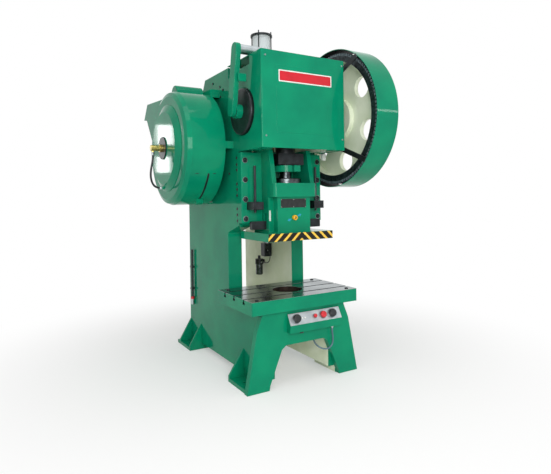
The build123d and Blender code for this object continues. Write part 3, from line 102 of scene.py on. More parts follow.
# Finishes. Each starts from what the real surface is; sizes of its patterns are in millimetres.
# grain is a fine relief, drift a broad change of tone, wear the tone of rubbed edges.
finishes = {
    # two-pack machine enamel sprayed over filler: glossy, with orange peel and soft waves
    "greenEnamel": {"colour": "#088963", "shade": "#057C5C", "wear": "#2FA886", "driftMm": 260, "grainMm": 7,
                    "relief": 0.05, "rough": (0.05, 0.09), "metal": 0.0, "waveMm": 170, "wave": 0.5, "gloss": 0.12},
    # the paler coat inside the frame and on the gear web: thinner, flatter, a little stained
    "creamEnamel": {"colour": "#EAF0DA", "shade": "#DCE5C8", "wear": "#EEF2E4", "driftMm": 180, "grainMm": 6,
                    "relief": 0.08, "rough": (0.28, 0.42), "metal": 0.0, "waveMm": 120, "wave": 0.8, "gloss": 0.4},
    # ground steel table with way oil on it: long fine scratches and darker patches
    "groundSteel": {"colour": "#879194", "shade": "#6C7679", "wear": "#C4CACB", "driftMm": 160, "grainMm": 2.5,
                    "relief": 0.02, "rough": (0.12, 0.24), "metal": 1.0, "stretch": (0.04, 1, 1)},
    # turned shafts and collars: tool marks run round the axis
    "turnedSteel": {"colour": "#9DA2A5", "shade": "#7B8185", "wear": "#C9CCCE", "driftMm": 60, "grainMm": 2,
                    "relief": 0.03, "rough": (0.25, 0.42), "metal": 1.0, "stretch": (1, 0.1, 0.1)},
    # cast iron and screws left bare, black with oil and dust
    "oiledIron": {"colour": "#262C2F", "shade": "#15191B", "wear": "#596164", "driftMm": 45, "grainMm": 3,
                  "relief": 0.12, "rough": (0.26, 0.42), "metal": 0.5},
    # machined slots and holes of the table: brown with old oil and chips
    "stainedIron": {"colour": "#3B2E28", "shade": "#1F1A18", "wear": "#6F625A", "driftMm": 30, "grainMm": 4,
                    "relief": 0.15, "rough": (0.35, 0.55), "metal": 0.4},
    # cast gear teeth under black open-gear grease: wet dark ridges
    "greasedTeeth": {"colour": "#363F43", "shade": "#1B2124", "wear": "#5E6A6E", "driftMm": 30, "grainMm": 9,
                     "relief": 0.3, "rough": (0.24, 0.42), "metal": 0.6},
    # tooth ends rubbed clean of grease: dull grey between the dark gaps
    "rubbedTeeth": {"colour": "#74838A", "shade": "#4E5A60", "wear": "#93A0A5", "driftMm": 40, "grainMm": 5,
                    "relief": 0.1, "rough": (0.35, 0.5), "metal": 0.2},
    # inside of the gear guard: painted shade, near black and flat, for the shadow inside the hoop
    "hoopShadeBlack": {"colour": "#14191B", "shade": "#0C0F10", "wear": "#2E3538", "driftMm": 60, "grainMm": 4,
                    "relief": 0.12, "rough": (0.55, 0.7), "metal": 0.0},
    # blackened and oiled steel of the ball joint: dark with bright streaks
    "blackenedSteel": {"colour": "#5C6264", "shade": "#363B3D", "wear": "#8E9496", "driftMm": 40, "grainMm": 2,
                       "relief": 0.03, "rough": (0.2, 0.34), "metal": 1.0, "stretch": (0.1, 0.1, 1)},
    # cast bronze of the bushes and of the knob's centre: warm brown with a faint grain
    "castBronze": {"colour": "#A8824A", "shade": "#7E5E33", "wear": "#C9A469", "driftMm": 40, "grainMm": 3,
                   "relief": 0.08, "rough": (0.3, 0.45), "metal": 1.0},
    # bar brass, machined, slightly tarnished
    "turnedBrass": {"colour": "#C9BA72", "shade": "#A99754", "wear": "#DDD08E", "driftMm": 25, "grainMm": 1.5,
                    "relief": 0.02, "rough": (0.22, 0.36), "metal": 1.0, "stretch": (1, 0.1, 0.1)},
    # anodised aluminium sheet and die-cast housings: pale, silky
    "anodisedAluminium": {"colour": "#BCC3C5", "shade": "#A9B1B4", "wear": "#DDE2E3", "driftMm": 50, "grainMm": 1.2,
                          "relief": 0.01, "rough": (0.3, 0.42), "metal": 1.0, "stretch": (0.05, 1, 1)},
    # moulded phenolic of the palm buttons: near black with a soft sheen
    "blackPlastic": {"colour": "#1B1F21", "shade": "#121517", "wear": "#3A4043", "driftMm": 20, "grainMm": 0.8,
                     "relief": 0.02, "rough": (0.25, 0.38), "metal": 0.0},
    # rubber of air hoses and belts: black and duller, with a fine weave under the skin
    "hoseRubber": {"colour": "#1C2224", "shade": "#12181B", "wear": "#39464B", "driftMm": 30, "grainMm": 1.6,
                   "relief": 0.08, "rough": (0.32, 0.5), "metal": 0.0},
    # PVC sleeve of the cable: blue-grey and smooth
    "greyHose": {"colour": "#587584", "shade": "#46626F", "wear": "#7A96A4", "driftMm": 40, "grainMm": 1.6,
                 "relief": 0.05, "rough": (0.3, 0.45), "metal": 0.0},
    # moulded caps of the red buttons: strong red, glossy
    "redPlastic": {"colour": "#D2232E", "shade": "#B51A26", "wear": "#E5525A", "driftMm": 15, "grainMm": 0.8,
                   "relief": 0.01, "rough": (0.2, 0.3), "metal": 0.0},
    # moulded knob: warm yellow, glossy
    "yellowPlastic": {"colour": "#F2B81E", "shade": "#E0A312", "wear": "#F7D264", "driftMm": 12, "grainMm": 0.8,
                      "relief": 0.01, "rough": (0.22, 0.32), "metal": 0.0},
    # white lamp, scale and plate border: slightly grey, silky
    "whitePlastic": {"colour": "#E6E8E3", "shade": "#D5D8D2", "wear": "#F4F5F2", "driftMm": 25, "grainMm": 0.8,
                     "relief": 0.01, "rough": (0.3, 0.4), "metal": 0.0},
    # printed vinyl film of the name plate: flat red under a thin gloss, faint dust
    "redVinyl": {"colour": "#C6081F", "shade": "#BA061C", "wear": "#D02238", "driftMm": 70, "grainMm": 2,
                 "relief": 0.01, "rough": (0.3, 0.38), "metal": 0.0},
    # cut vinyl arrows: flat light blue
    "blueVinyl": {"colour": "#0FA0C4", "shade": "#0C8FB4", "wear": "#4FBBD6", "driftMm": 15, "grainMm": 1,
                  "relief": 0.01, "rough": (0.3, 0.4), "metal": 0.0},
    # painted steel of the data plate: dark grey, matt, brighter at its edges
    "blackPlate": {"colour": "#2B2F2E", "shade": "#202423", "wear": "#666B69", "driftMm": 25, "grainMm": 1.2,
                   "relief": 0.02, "rough": (0.35, 0.5), "metal": 0.4},
}
# How the noises of a finish are read: the detail of each, and the two values that its range is spread between
patterns = {"driftDetail": 4.0, "drift": (0.35, 0.65), "grainDetail": 2.0, "grain": (0.3, 0.7), "waveDetail": 1.0}
# Rubbed edges show where the rounded normal leaves the true one: from the cosine start on, and fully at the cosine full
edgeWear = {"radiusMm": 2.5, "samples": 4, "start": 0.99, "full": 0.86, "share": 0.55}
bumpStrength = 0.35
plainGloss = 0.5

# Sockets of the mix node, which has one set for colours and another for numbers
factor = 0
colourA, colourB, colourOut = 6, 7, 2
numberA, numberB, numberOut = 2, 3, 0


def surfaceOf(tree, place, spec):
    # colour, roughness, metal and relief of one finish
    drift = addNode(tree, "ShaderNodeTexNoise", {}, {
        "Vector": place, "Scale": mmPerMetre / spec["driftMm"], "Detail": patterns["driftDetail"]})
    stretched = addNode(tree, "ShaderNodeMapping", {}, {"Vector": place, "Scale": spec.get("stretch", (1, 1, 1))})
    grain = addNode(tree, "ShaderNodeTexNoise", {}, {
        "Vector": stretched.outputs["Vector"], "Scale": mmPerMetre / spec["grainMm"],
        "Detail": patterns["grainDetail"]})
    tone = addNode(tree, "ShaderNodeMapRange", {}, {
        "Value": drift.outputs["Fac"], "From Min": patterns["drift"][0], "From Max": patterns["drift"][1]})
    colour = addNode(tree, "ShaderNodeMix", {"data_type": "RGBA"}, {
        factor: tone.outputs[0], colourA: linearColour(spec["colour"]), colourB: linearColour(spec["shade"])})
    rough = addNode(tree, "ShaderNodeMapRange", {}, {
        "Value": grain.outputs["Fac"], "From Min": patterns["grain"][0], "From Max": patterns["grain"][1],
        "To Min": spec["rough"][0], "To Max": spec["rough"][1]})
    height = addNode(tree, "ShaderNodeMath", {"operation": "MULTIPLY"}, {0: grain.outputs["Fac"], 1: spec["relief"]})
    if "waveMm" in spec:
        wave = addNode(tree, "ShaderNodeTexNoise", {}, {
            "Vector": place, "Scale": mmPerMetre / spec["waveMm"], "Detail": patterns["waveDetail"]})
        height = addNode(tree, "ShaderNodeMath", {"operation": "MULTIPLY_ADD"}, {
            0: wave.outputs["Fac"], 1: spec["wave"], 2: height.outputs[0]})
    return {"colour": colour.outputs[colourOut], "rough": rough.outputs[0], "height": height.outputs[0],
            "metal": spec["metal"], "wear": linearColour(spec["wear"])}


def newSurface(name):
    material = bpy.data.materials.new(name)
    material.use_nodes = True
    tree = material.node_tree
    tree.nodes.clear()
    place = addNode(tree, "ShaderNodeTexCoord").outputs["Object"]
    return material, tree, place


def makeFinish(name, base, *layers):
    # the base finish, with each layer over it inside the region that the layer names
    material, tree, place = newSurface(name)
    look = surfaceOf(tree, place, finishes[base])
    for overName, regionName in layers:
        over = surfaceOf(tree, place, finishes[overName])
        mask = regions[regionName](tree, place)
        for key in look:
            if key in ("colour", "wear"):
                kind, first, second, result = "RGBA", colourA, colourB, colourOut
            else:
                kind, first, second, result = "FLOAT", numberA, numberB, numberOut
            mixed = addNode(tree, "ShaderNodeMix", {"data_type": kind}, {
                factor: mask, first: look[key], second: over[key]})
            look[key] = mixed.outputs[result]
    rounded = addNode(tree, "ShaderNodeBevel", {"samples": edgeWear["samples"]}, {
        "Radius": edgeWear["radiusMm"] * mm})
    trueNormal = addNode(tree, "ShaderNodeNewGeometry").outputs["Normal"]
    cosine = addNode(tree, "ShaderNodeVectorMath", {"operation": "DOT_PRODUCT"}, {
        0: rounded.outputs[0], 1: trueNormal})
    rubbed = addNode(tree, "ShaderNodeMapRange", {}, {
        "Value": cosine.outputs["Value"], "From Min": edgeWear["start"], "From Max": edgeWear["full"],
        "To Max": edgeWear["share"]})
    colour = addNode(tree, "ShaderNodeMix", {"data_type": "RGBA"}, {
        factor: rubbed.outputs[0], colourA: look["colour"], colourB: look["wear"]})
    relief = addNode(tree, "ShaderNodeBump", {}, {
        "Strength": bumpStrength, "Distance": mm, "Height": look["height"], "Normal": rounded.outputs[0]})
    shader = addNode(tree, "ShaderNodeBsdfPrincipled", {}, {
        "Base Color": colour.outputs[colourOut], "Roughness": look["rough"], "Metallic": look["metal"],
        "Normal": relief.outputs[0], "Specular IOR Level": finishes[base].get("gloss", plainGloss)})
    addNode(tree, "ShaderNodeOutputMaterial", {}, {"Surface": shader.outputs[0]})
    return material


def within(tree, value, low, high):
    above = addNode(tree, "ShaderNodeMath", {"operation": "GREATER_THAN"}, {0: value, 1: low})
    below = addNode(tree, "ShaderNodeMath", {"operation": "LESS_THAN"}, {0: value, 1: high})
    both = addNode(tree, "ShaderNodeMath", {"operation": "MULTIPLY"}, {0: above.outputs[0], 1: below.outputs[0]})
    return both.outputs[0]


def slab(axis, low, high):
    # a region between two planes, in metres
    def region(tree, place):
        parts = addNode(tree, "ShaderNodeSeparateXYZ", {}, {0: place})
        return within(tree, parts.outputs[axis], low, high)
    return region


def aroundAxis(axis, centre, low, high):
    # a ring about a line along one axis, through a point whose part along that axis is 0
    def region(tree, place):
        flat = addNode(tree, "ShaderNodeVectorMath", {"operation": "MULTIPLY"}, {
            0: place, 1: [float(i != axis) for i in range(3)]})
        away = addNode(tree, "ShaderNodeVectorMath", {"operation": "DISTANCE"}, {0: flat.outputs[0], 1: centre})
        return within(tree, away.outputs["Value"], low, high)
    return region


def everyOf(*parts):
    # what all the parts have in common
    def region(tree, place):
        mask = 1.0
        for part in parts:
            product = addNode(tree, "ShaderNodeMath", {"operation": "MULTIPLY"}, {0: part(tree, place), 1: mask})
            mask = product.outputs[0]
        return mask
    return region


# Where a layer lies, in metres. The limits are just off the faces that they divide.
gearAxis = (0, -0.539, 2.172)
dropHoleAxis = (0, -0.539, 0)
noLimit = -1
regions = {
    "betweenCheeks": slab(alongX, -0.2585, 0.2585),
    "frontInside": everyOf(slab(alongX, -0.3865, 0.3865), slab(alongY, -0.752, -0.2)),
    "tableInside": everyOf(slab(alongX, -0.4985, 0.4985), slab(alongY, -0.8445, -0.2335)),
    "tableTop": slab(alongZ, 0.6985, 0.8),
    "dropHole": aroundAxis(alongZ, dropHoleAxis, noLimit, 0.1265),
    "gearRim": aroundAxis(alongX, gearAxis, 0.5055, 0.558),
    "gearTeeth": aroundAxis(alongX, gearAxis, 0.558, 0.7),
    "hoopInside": everyOf(aroundAxis(alongX, gearAxis, noLimit, 0.6085), slab(alongX, 0.4865, 0.7115)),
    "filterFoot": slab(alongZ, 0.6, 0.797),
    "valveTop": slab(alongZ, 1.02, 1.2),
    "pipeFoot": slab(alongZ, 0.3, 0.463),
    "pipeBand": slab(alongZ, 0.463, 0.486),
    "lampTop": slab(alongZ, 1.8585, 2.0),
    "unionFlange": slab(alongX, -0.8465, -0.8),
}

# Pieces of more than one finish: the base, then each layer with its region
layered = {
    # green outside, cream between the cheeks
    "cheekPaint": ("greenEnamel", ("creamEnamel", "betweenCheeks")),
    # green rim, oily slots, stained drop hole, ground top
    "tablePaint": ("greenEnamel", ("oiledIron", "tableInside"), ("stainedIron", "dropHole"),
                   ("groundSteel", "tableTop")),
    # cream web, greased rim, rubbed tooth ends
    "gearPaint": ("creamEnamel", ("greasedTeeth", "gearRim"), ("rubbedTeeth", "gearTeeth")),
    # green outside, with painted shade near black on the inside towards the gear
    "hoopPaint": ("greenEnamel", ("hoopShadeBlack", "hoopInside")),
    # green, but cream on the sides that face each other in front
    "feetPaint": ("greenEnamel", ("creamEnamel", "frontInside")),
    # fittings with one part in another metal or colour
    "filterParts": ("oiledIron", ("blackenedSteel", "filterFoot")),
    "valveParts": ("oiledIron", ("anodisedAluminium", "valveTop")),
    "pipeParts": ("hoseRubber", ("anodisedAluminium", "pipeFoot"), ("redPlastic", "pipeBand")),
    "lampParts": ("whitePlastic", ("oiledIron", "lampTop")),
    "unionParts": ("turnedBrass", ("oiledIron", "unionFlange")),
}

# cast acrylic tube: clear and slightly blue-grey, with faint haze inside
acrylic = {"clear": "#F4F8F9", "haze": "#E6EDF0", "hazeMm": 40, "hazeDetail": 3.0, "rough": 0.12,
           "refraction": 1.49, "through": 0.4}


def makeAcrylic(spec):
    material, tree, place = newSurface("castAcrylic")
    haze = addNode(tree, "ShaderNodeTexNoise", {}, {
        "Vector": place, "Scale": mmPerMetre / spec["hazeMm"], "Detail": spec["hazeDetail"]})
    tone = addNode(tree, "ShaderNodeMix", {"data_type": "RGBA"}, {
        factor: haze.outputs["Fac"], colourA: linearColour(spec["clear"]), colourB: linearColour(spec["haze"])})
    shader = addNode(tree, "ShaderNodeBsdfPrincipled", {}, {
        "Base Color": tone.outputs[colourOut], "Roughness": spec["rough"], "IOR": spec["refraction"],
        "Transmission Weight": spec["through"]})
    addNode(tree, "ShaderNodeOutputMaterial", {}, {"Surface": shader.outputs[0]})
    return material


# reflective warning tape, dusty: stripes lean outward from the middle on both sides
hazard = {"size": (618, 62), "centre": (0, 1163), "corner": 1.0, "thick": 0.6, "edge": 0.2,
          "pitch": 80, "slope": 1.05, "shift": -14.782, "yellowShare": 0.33,
          "yellow": ("#F3CB55", "#DDAF3C"), "black": ("#0C0D0C", "#181815"),
          "dustMm": 12, "dustDetail": 4.0, "rough": (0.32, 0.5), "gloss": 0.25}


def makeHazardTape(spec):
    material, tree, place = newSurface("hazardTape")
    parts = addNode(tree, "ShaderNodeSeparateXYZ", {}, {0: place})
    side = addNode(tree, "ShaderNodeMath", {"operation": "ABSOLUTE"}, {0: parts.outputs[alongX]})
    slant = addNode(tree, "ShaderNodeMath", {"operation": "MULTIPLY_ADD"}, {
        0: parts.outputs[alongZ], 1: spec["slope"], 2: side.outputs[0]})
    turns = addNode(tree, "ShaderNodeMath", {"operation": "MULTIPLY_ADD"}, {
        0: slant.outputs[0], 1: 1 / (spec["pitch"] * mm), 2: spec["shift"]})
    share = addNode(tree, "ShaderNodeMath", {"operation": "FRACT"}, {0: turns.outputs[0]})
    black = addNode(tree, "ShaderNodeMath", {"operation": "GREATER_THAN"}, {
        0: share.outputs[0], 1: spec["yellowShare"]})
    dust = addNode(tree, "ShaderNodeTexNoise", {}, {
        "Vector": place, "Scale": mmPerMetre / spec["dustMm"], "Detail": spec["dustDetail"]})
    stripes = []
    for name in ("yellow", "black"):
        clean, dusty = (linearColour(hexText) for hexText in spec[name])
        stripe = addNode(tree, "ShaderNodeMix", {"data_type": "RGBA"}, {
            factor: dust.outputs["Fac"], colourA: clean, colourB: dusty})
        stripes.append(stripe.outputs[colourOut])
    colour = addNode(tree, "ShaderNodeMix", {"data_type": "RGBA"}, {
        factor: black.outputs[0], colourA: stripes[0], colourB: stripes[1]})
    rough = addNode(tree, "ShaderNodeMapRange", {}, {
        "Value": dust.outputs["Fac"], "To Min": spec["rough"][0], "To Max": spec["rough"][1]})
    shader = addNode(tree, "ShaderNodeBsdfPrincipled", {}, {
        "Base Color": colour.outputs[colourOut], "Roughness": rough.outputs[0], "Specular IOR Level": spec["gloss"]})
    addNode(tree, "ShaderNodeOutputMaterial", {}, {"Surface": shader.outputs[0]})
    return material


surfaces = {name: makeFinish(name, name) for name in finishes}
surfaces.update({name: makeFinish(name, *parts) for name, parts in layered.items()})
surfaces["acrylic"] = makeAcrylic(acrylic)
surfaces["hazardTape"] = makeHazardTape(hazard)
print("finishes made")

dressing = {
    "cheekPaint": ("left_cheek", "right_cheek"),
    "greenEnamel": ("front_leg", "left_gib", "right_gib", "belt_guard", "flywheel_guard", "clutch_cover",
                    "guard_arm", "crown_cover", "chain_cover", "control_box", "slide", "screw_clamp", "motor_bracket",
                    "motor"),
    "hoopPaint": ("gear_guard",),
    "feetPaint": ("feet",),
    "creamEnamel": ("bed_deck", "frame_ties"),
    "tablePaint": ("bolster",),
    "gearPaint": ("main_gear",),
    "oiledIron": ("frame_screws", "knockout_stops", "knockout_bar", "bearing_caps", "guard_straps", "chain",
                  "tank_frame", "crank_nut", "clutch_disc", "flywheel", "motor_pulley", "camshaft",
                  "connecting_rod", "big_end_cap"),
    "blackenedSteel": ("ball_nut", "ball_screw", "cap_bolts"),
    "turnedSteel": ("crankshaft", "countershaft"),
    "castBronze": ("shaft_bearings",),
    "unionParts": ("rotary_union",),
    "anodisedAluminium": ("cam_switch", "control_fascia", "hose_gland"),
    "acrylic": ("tank_glass",),
    "filterParts": ("air_filter",),
    "valveParts": ("air_valve",),
    "pipeParts": ("inlet_pipe",),
    "lampParts": ("lamp",),
    "hoseRubber": ("v_belts",),
    "blackPlastic": ("left_palm_button", "right_palm_button"),
    "redPlastic": ("inch_button", "emergency_button"),
    "yellowPlastic": ("lock_knob",),
}


def dress(nodeName, material):
    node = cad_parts[nodeName]
    if not node.material_slots:
        node.data.materials.append(material)
    for slot in node.material_slots:
        slot.material = material


for finishName, nodeNames in dressing.items():
    for nodeName in nodeNames:
        dress(nodeName, surfaces[finishName])
print("frame dressed")


# Hoses: each follows its route, given in millimetres, as one smooth line between the fittings
hoses = {
    "clutchHose": {"node": "clutch_hose", "slot": "black_rubber", "finish": "hoseRubber",
                   "diameter": 18, "length": 0.380,
                   "points": [(-926, 165, 1888), (-926, 165, 1824), (-942, 170, 1750), (-946, 180, 1676),
                              (-926, 194, 1612), (-884, 204, 1576), (-838, 204, 1576)]},
    "controlHose": {"node": "control_hose", "slot": "grey_hose", "finish": "greyHose",
                    "diameter": 12, "length": 0.430,
                    "points": [(246, -832, 420), (246, -832, 372), (255, -831, 318), (250, -829, 264),
                               (212, -824, 234), (168, -812, 236), (134, -782, 256), (122, -746, 288),
                               (121, -726, 332), (121, -726, 372)]},
    "filterHose": {"node": "filter_hose", "slot": "black_rubber", "finish": "hoseRubber",
                   "diameter": 8, "length": 0.298,
                   "points": [(205, 149, 950), (205, 121, 950), (205, 101, 920), (205, 101, 888), (205, 112, 856),
                              (205, 142, 832), (205, 184, 823), (205, 232, 824), (205, 277, 824)]},
}
hoseCurve = {"stepsAround": 6, "stepsAlong": 16, "order": 3}


def link(name, data, surface, body="frame"):
    piece = bpy.data.objects.new(name, data)
    bpy.context.scene.collection.objects.link(piece)
    data.materials.append(surfaces[surface])
    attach(piece, body)
    return piece


def makeHose(name, spec):
    curve = bpy.data.curves.new(name, "CURVE")
    curve.dimensions = "3D"
    curve.bevel_depth = spec["diameter"] * mm / 2
    curve.bevel_resolution = hoseCurve["stepsAround"]
    curve.resolution_u = hoseCurve["stepsAlong"]
    curve.use_fill_caps = True
    line = curve.splines.new("NURBS")
    line.points.add(len(spec["points"]) - 1)
    for point, place in zip(line.points, spec["points"]):
        point.co = (*[value * mm for value in place], 1.0)
    line.use_endpoint_u = True
    line.order_u = hoseCurve["order"]
    piece = link(name, curve, spec["finish"])
    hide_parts(spec["node"])


for hoseName, hoseSpec in hoses.items():
    makeHose(hoseName, hoseSpec)
print("hoses routed")

# Meshes are built in millimetres, in frames whose Z looks out of the surface
mergeMetres = 0.00001
sharpDegrees = 35.0
cornerSteps = 5
leastCorner = 0.2
# shares of the radius and of the height of a cap screw, and of a hexagon nut
capShape = {"sides": 24, "shoulder": 0.86, "topRadius": 0.9, "socket": 0.46, "mouth": 1.2, "mouthDepth": 0.94,
            "floor": 0.4}
hexShape = {"sides": 24, "corner": 1.155, "shoulder": 0.85, "top": 0.94}


def facing(place, out, up=(0, 0, 1)):
    # a frame at a place whose Z looks along out and whose Y leans towards up
    z = Vector(out).normalized()
    x = Vector(up).cross(z).normalized()
    y = z.cross(x)
    return Matrix.Translation(Vector(place) * mm) @ Matrix((x, y, z)).transposed().to_4x4()


def meshFrom(build, name, surface, body="frame"):
    shape = bmesh.new()
    build(shape)
    bmesh.ops.remove_doubles(shape, verts=shape.verts, dist=mergeMetres)
    bmesh.ops.recalc_face_normals(shape, faces=shape.faces)
    for face in shape.faces:
        face.smooth = True
    for edge in shape.edges:
        edge.smooth = edge.is_manifold and edge.calc_face_angle(0.0) < math.radians(sharpDegrees)
    data = bpy.data.meshes.new(name)
    shape.to_mesh(data)
    shape.free()
    return link(name, data, surface, body)


def addRings(shape, rings, loop=False):
    # skins rings that have the same number of points, with capped ends or in a loop back to the first
    if loop:
        rings = rings + [rings[0]]
    made = [[shape.verts.new(point) for point in ring] for ring in rings]
    count = len(made[0])
    for low, high in zip(made, made[1:]):
        for i in range(count):
            j = (i + 1) % count
            shape.faces.new((low[i], low[j], high[j], high[i]))
    if not loop:
        shape.faces.new(list(reversed(made[0])))
        shape.faces.new(made[-1])


def roundPoints(base, radiusAt, height, sides):
    # one ring about the frame's Z, whose radius may change with the angle
    ring = []
    for i in range(sides):
        angle = 2 * math.pi * i / sides
        r = radiusAt(angle) * mm
        ring.append(base @ Vector((r * math.cos(angle), r * math.sin(angle), height * mm)))
    return ring


def addTurned(shape, base, profile, sides=32, loop=False):
    # profile holds (radius, height) pairs, turned about the frame's Z
    addRings(shape, [roundPoints(base, lambda angle: r, h, sides) for r, h in profile], loop)


def hexRadius(angle, flat):
    sector = math.radians(60)
    return flat / math.cos((angle + sector / 2) % sector - sector / 2)


def addSocketScrew(shape, base, r, h):
    # cap screw: chamfered head with a hexagon socket
    flat = r * capShape["socket"]
    mouth = flat * capShape["mouth"]
    steps = [(lambda angle: r, 0), (lambda angle: r, h * capShape["shoulder"]),
             (lambda angle: r * capShape["topRadius"], h), (lambda angle: mouth, h),
             (lambda angle: hexRadius(angle, flat), h * capShape["mouthDepth"]),
             (lambda angle: hexRadius(angle, flat), h * capShape["floor"])]
    addRings(shape, [roundPoints(base, radiusAt, height, capShape["sides"]) for radiusAt, height in steps])


def addHexHead(shape, base, flat, h):
    # hexagon nut whose corners are turned down
    corner = flat * hexShape["corner"]
    steps = [(corner, 0), (corner, h * hexShape["shoulder"]), (corner * hexShape["top"], h)]
    addRings(shape, [roundPoints(base, lambda angle: min(hexRadius(angle, flat), most), height, hexShape["sides"])
                     for most, height in steps])


def outlinePoints(width, height, corner):
    points = []
    for cx, cy, start in ((1, 1, 0), (-1, 1, 90), (-1, -1, 180), (1, -1, 270)):
        for i in range(cornerSteps + 1):
            a = math.radians(start + 90 * i / cornerSteps)
            points.append((cx * (width / 2 - corner) + corner * math.cos(a),
                           cy * (height / 2 - corner) + corner * math.sin(a)))
    return points


def addPlate(shape, base, width, height, corner, thick, edge=0.4, hole=None):
    # a flat plate with rounded corners and a small bevel; hole is (width, height, corner) for a frame
    def ring(inset, z, size=(width, height, corner)):
        w, h, c = size
        return [base @ Vector((x * mm, y * mm, z * mm)) for x, y in
                outlinePoints(w - 2 * inset, h - 2 * inset, max(c - inset, leastCorner))]
    rings = [ring(0, 0), ring(0, thick - edge), ring(edge, thick)]
    if hole:
        rings += [ring(-edge, thick, hole), ring(0, thick - edge, hole), ring(0, 0, hole)]
    addRings(shape, rings, bool(hole))


def addPrism(shape, base, points, thick):
    addRings(shape, [[base @ Vector((x * mm, y * mm, z * mm)) for x, y in points] for z in (0, thick)])


# Plates, tape and decals
coverFront = -850.0
slideBlockFront = -665.0
flangeFront = -775.0
outFront = (0, -1, 0)
outLeft = (-1, 0, 0)

coverDoor = {"centre": (15, 2240), "size": (560, 520), "corner": 12, "thick": 1.6, "edge": 0.8}
namePlate = {"centre": (9, 2417), "size": (504, 92), "corner": 5, "border": 9, "thick": 1.2, "edge": 0.3,
             "fieldThick": 1.08, "fieldEdge": 0.1}


def makeCoverPlates():
    doorAt = facing((coverDoor["centre"][0], coverFront, coverDoor["centre"][1]), outFront)
    meshFrom(lambda s: addPlate(s, doorAt, *coverDoor["size"], *(coverDoor[k] for k in ("corner", "thick", "edge"))),
             "coverDoor", "greenEnamel")
    x, z = namePlate["centre"]
    width, height = namePlate["size"]
    plateAt = facing((x, coverFront - coverDoor["thick"], z), outFront)
    gap = 2 * namePlate["border"]
    inner = (width - gap, height - gap, namePlate["corner"])
    meshFrom(lambda s: addPlate(s, plateAt, width, height, namePlate["corner"], namePlate["thick"],
                                namePlate["edge"], inner),
             "namePlateBorder", "whitePlastic")
    meshFrom(lambda s: addPlate(s, plateAt, *inner, namePlate["fieldThick"], namePlate["fieldEdge"]),
             "namePlateField", "redVinyl")


dataPlate = {"centre": (-4, 1429), "size": (246, 74), "corner": 3, "thick": 1.0, "edge": 0.3,
             "inset": 7, "rivet": ((3.2, 0), (2.88, 0.8), (1.6, 1.5), (0.2, 1.7)), "rivetSides": 16}


def makeDataPlate():
    x, z = dataPlate["centre"]
    width, height = dataPlate["size"]
    base = facing((x, slideBlockFront, z), outFront)
    meshFrom(lambda s: addPlate(s, base, width, height, *(dataPlate[k] for k in ("corner", "thick", "edge"))),
             "dataPlate", "blackPlate", "slide")

    def rivets(shape):
        for sx in (-1, 0, 1):
            for sz in (-1, 1):
                at = facing((x + sx * (width / 2 - dataPlate["inset"]), slideBlockFront - dataPlate["thick"],
                             z + sz * (height / 2 - dataPlate["inset"])), outFront)
                addTurned(shape, at, dataPlate["rivet"], dataPlate["rivetSides"])
    meshFrom(rivets, "dataPlateRivets", "anodisedAluminium", "slide")


def makeHazardTapePiece():
    base = facing((hazard["centre"][0], flangeFront, hazard["centre"][1]), outFront)
    meshFrom(lambda s: addPlate(s, base, *hazard["size"], *(hazard[k] for k in ("corner", "thick", "edge"))),
             "hazardTape", "hazardTape", "slide")


# two arrows beside the knob, each place an (x, z) step from the knob and a turn in degrees
knobArrows = {"knob": (0, 1310), "length": 38, "width": 27, "neck": 14, "thick": 0.4,
              "places": ((-46, -18, 200), (53, 19, 20))}


def makeKnobArrows():
    def arrows(shape):
        length, width, neck = (knobArrows[k] for k in ("length", "width", "neck"))
        points = [(-length / 2, -neck / 2), (0, -neck / 2), (0, -width / 2), (length / 2, 0),
                  (0, width / 2), (0, neck / 2), (-length / 2, neck / 2)]
        for dx, dz, turn in knobArrows["places"]:
            base = facing((knobArrows["knob"][0] + dx, slideBlockFront, knobArrows["knob"][1] + dz), outFront)
            addPrism(shape, base @ Matrix.Rotation(math.radians(turn), 4, "Z"), points, knobArrows["thick"])
    meshFrom(arrows, "knobArrows", "blueVinyl", "slide")


# sunk orange centre of the knob, with its pointer bar
knobMark = {"place": (0, -689.3, 1310), "disc": ((10, 0), (10, 0.4), (9, 0.6)), "discSides": 28,
            "bar": (26, 5), "corner": 1.5, "thick": 1.2, "edge": 0.3, "turn": 35}


def makeKnobMark():
    at = facing(knobMark["place"], outFront)

    def mark(shape):
        addTurned(shape, at, knobMark["disc"], knobMark["discSides"])
        bar = at @ Matrix.Rotation(math.radians(knobMark["turn"]), 4, "Z")
        addPlate(shape, bar, *knobMark["bar"], *(knobMark[k] for k in ("corner", "thick", "edge")))
    meshFrom(mark, "knobMark", "castBronze", "lock_knob")


slideScale = {"x": -193, "z": (1285, 1372), "width": 16, "corner": 2, "thick": 1.5, "face": -600.0,
              "pitch": 10, "longEvery": 5, "longTick": 9, "shortTick": 5, "margin": 1,
              "tick": {"height": 1.0, "corner": 0.2, "thick": 0.2, "edge": 0.05}}


def makeSlideScale():
    low, high = slideScale["z"]
    base = facing((slideScale["x"], slideScale["face"], (low + high) / 2), outFront)
    meshFrom(lambda s: addPlate(s, base, slideScale["width"], high - low, slideScale["corner"], slideScale["thick"]),
             "slideScale", "whitePlastic", "slide")

    def ticks(shape):
        left = slideScale["x"] - slideScale["width"] / 2 + slideScale["margin"]
        for i in range(1, int((high - low) / slideScale["pitch"])):
            length = slideScale["shortTick" if i % slideScale["longEvery"] else "longTick"]
            at = facing((left + length / 2, slideScale["face"] - slideScale["thick"],
                         low + i * slideScale["pitch"]), outFront)
            addPlate(shape, at, length, **slideScale["tick"])
    meshFrom(ticks, "slideScaleTicks", "blackPlastic", "slide")


makeCoverPlates()
makeDataPlate()
makeHazardTapePiece()
makeKnobArrows()
makeKnobMark()
makeSlideScale()
print("plates and tape placed")

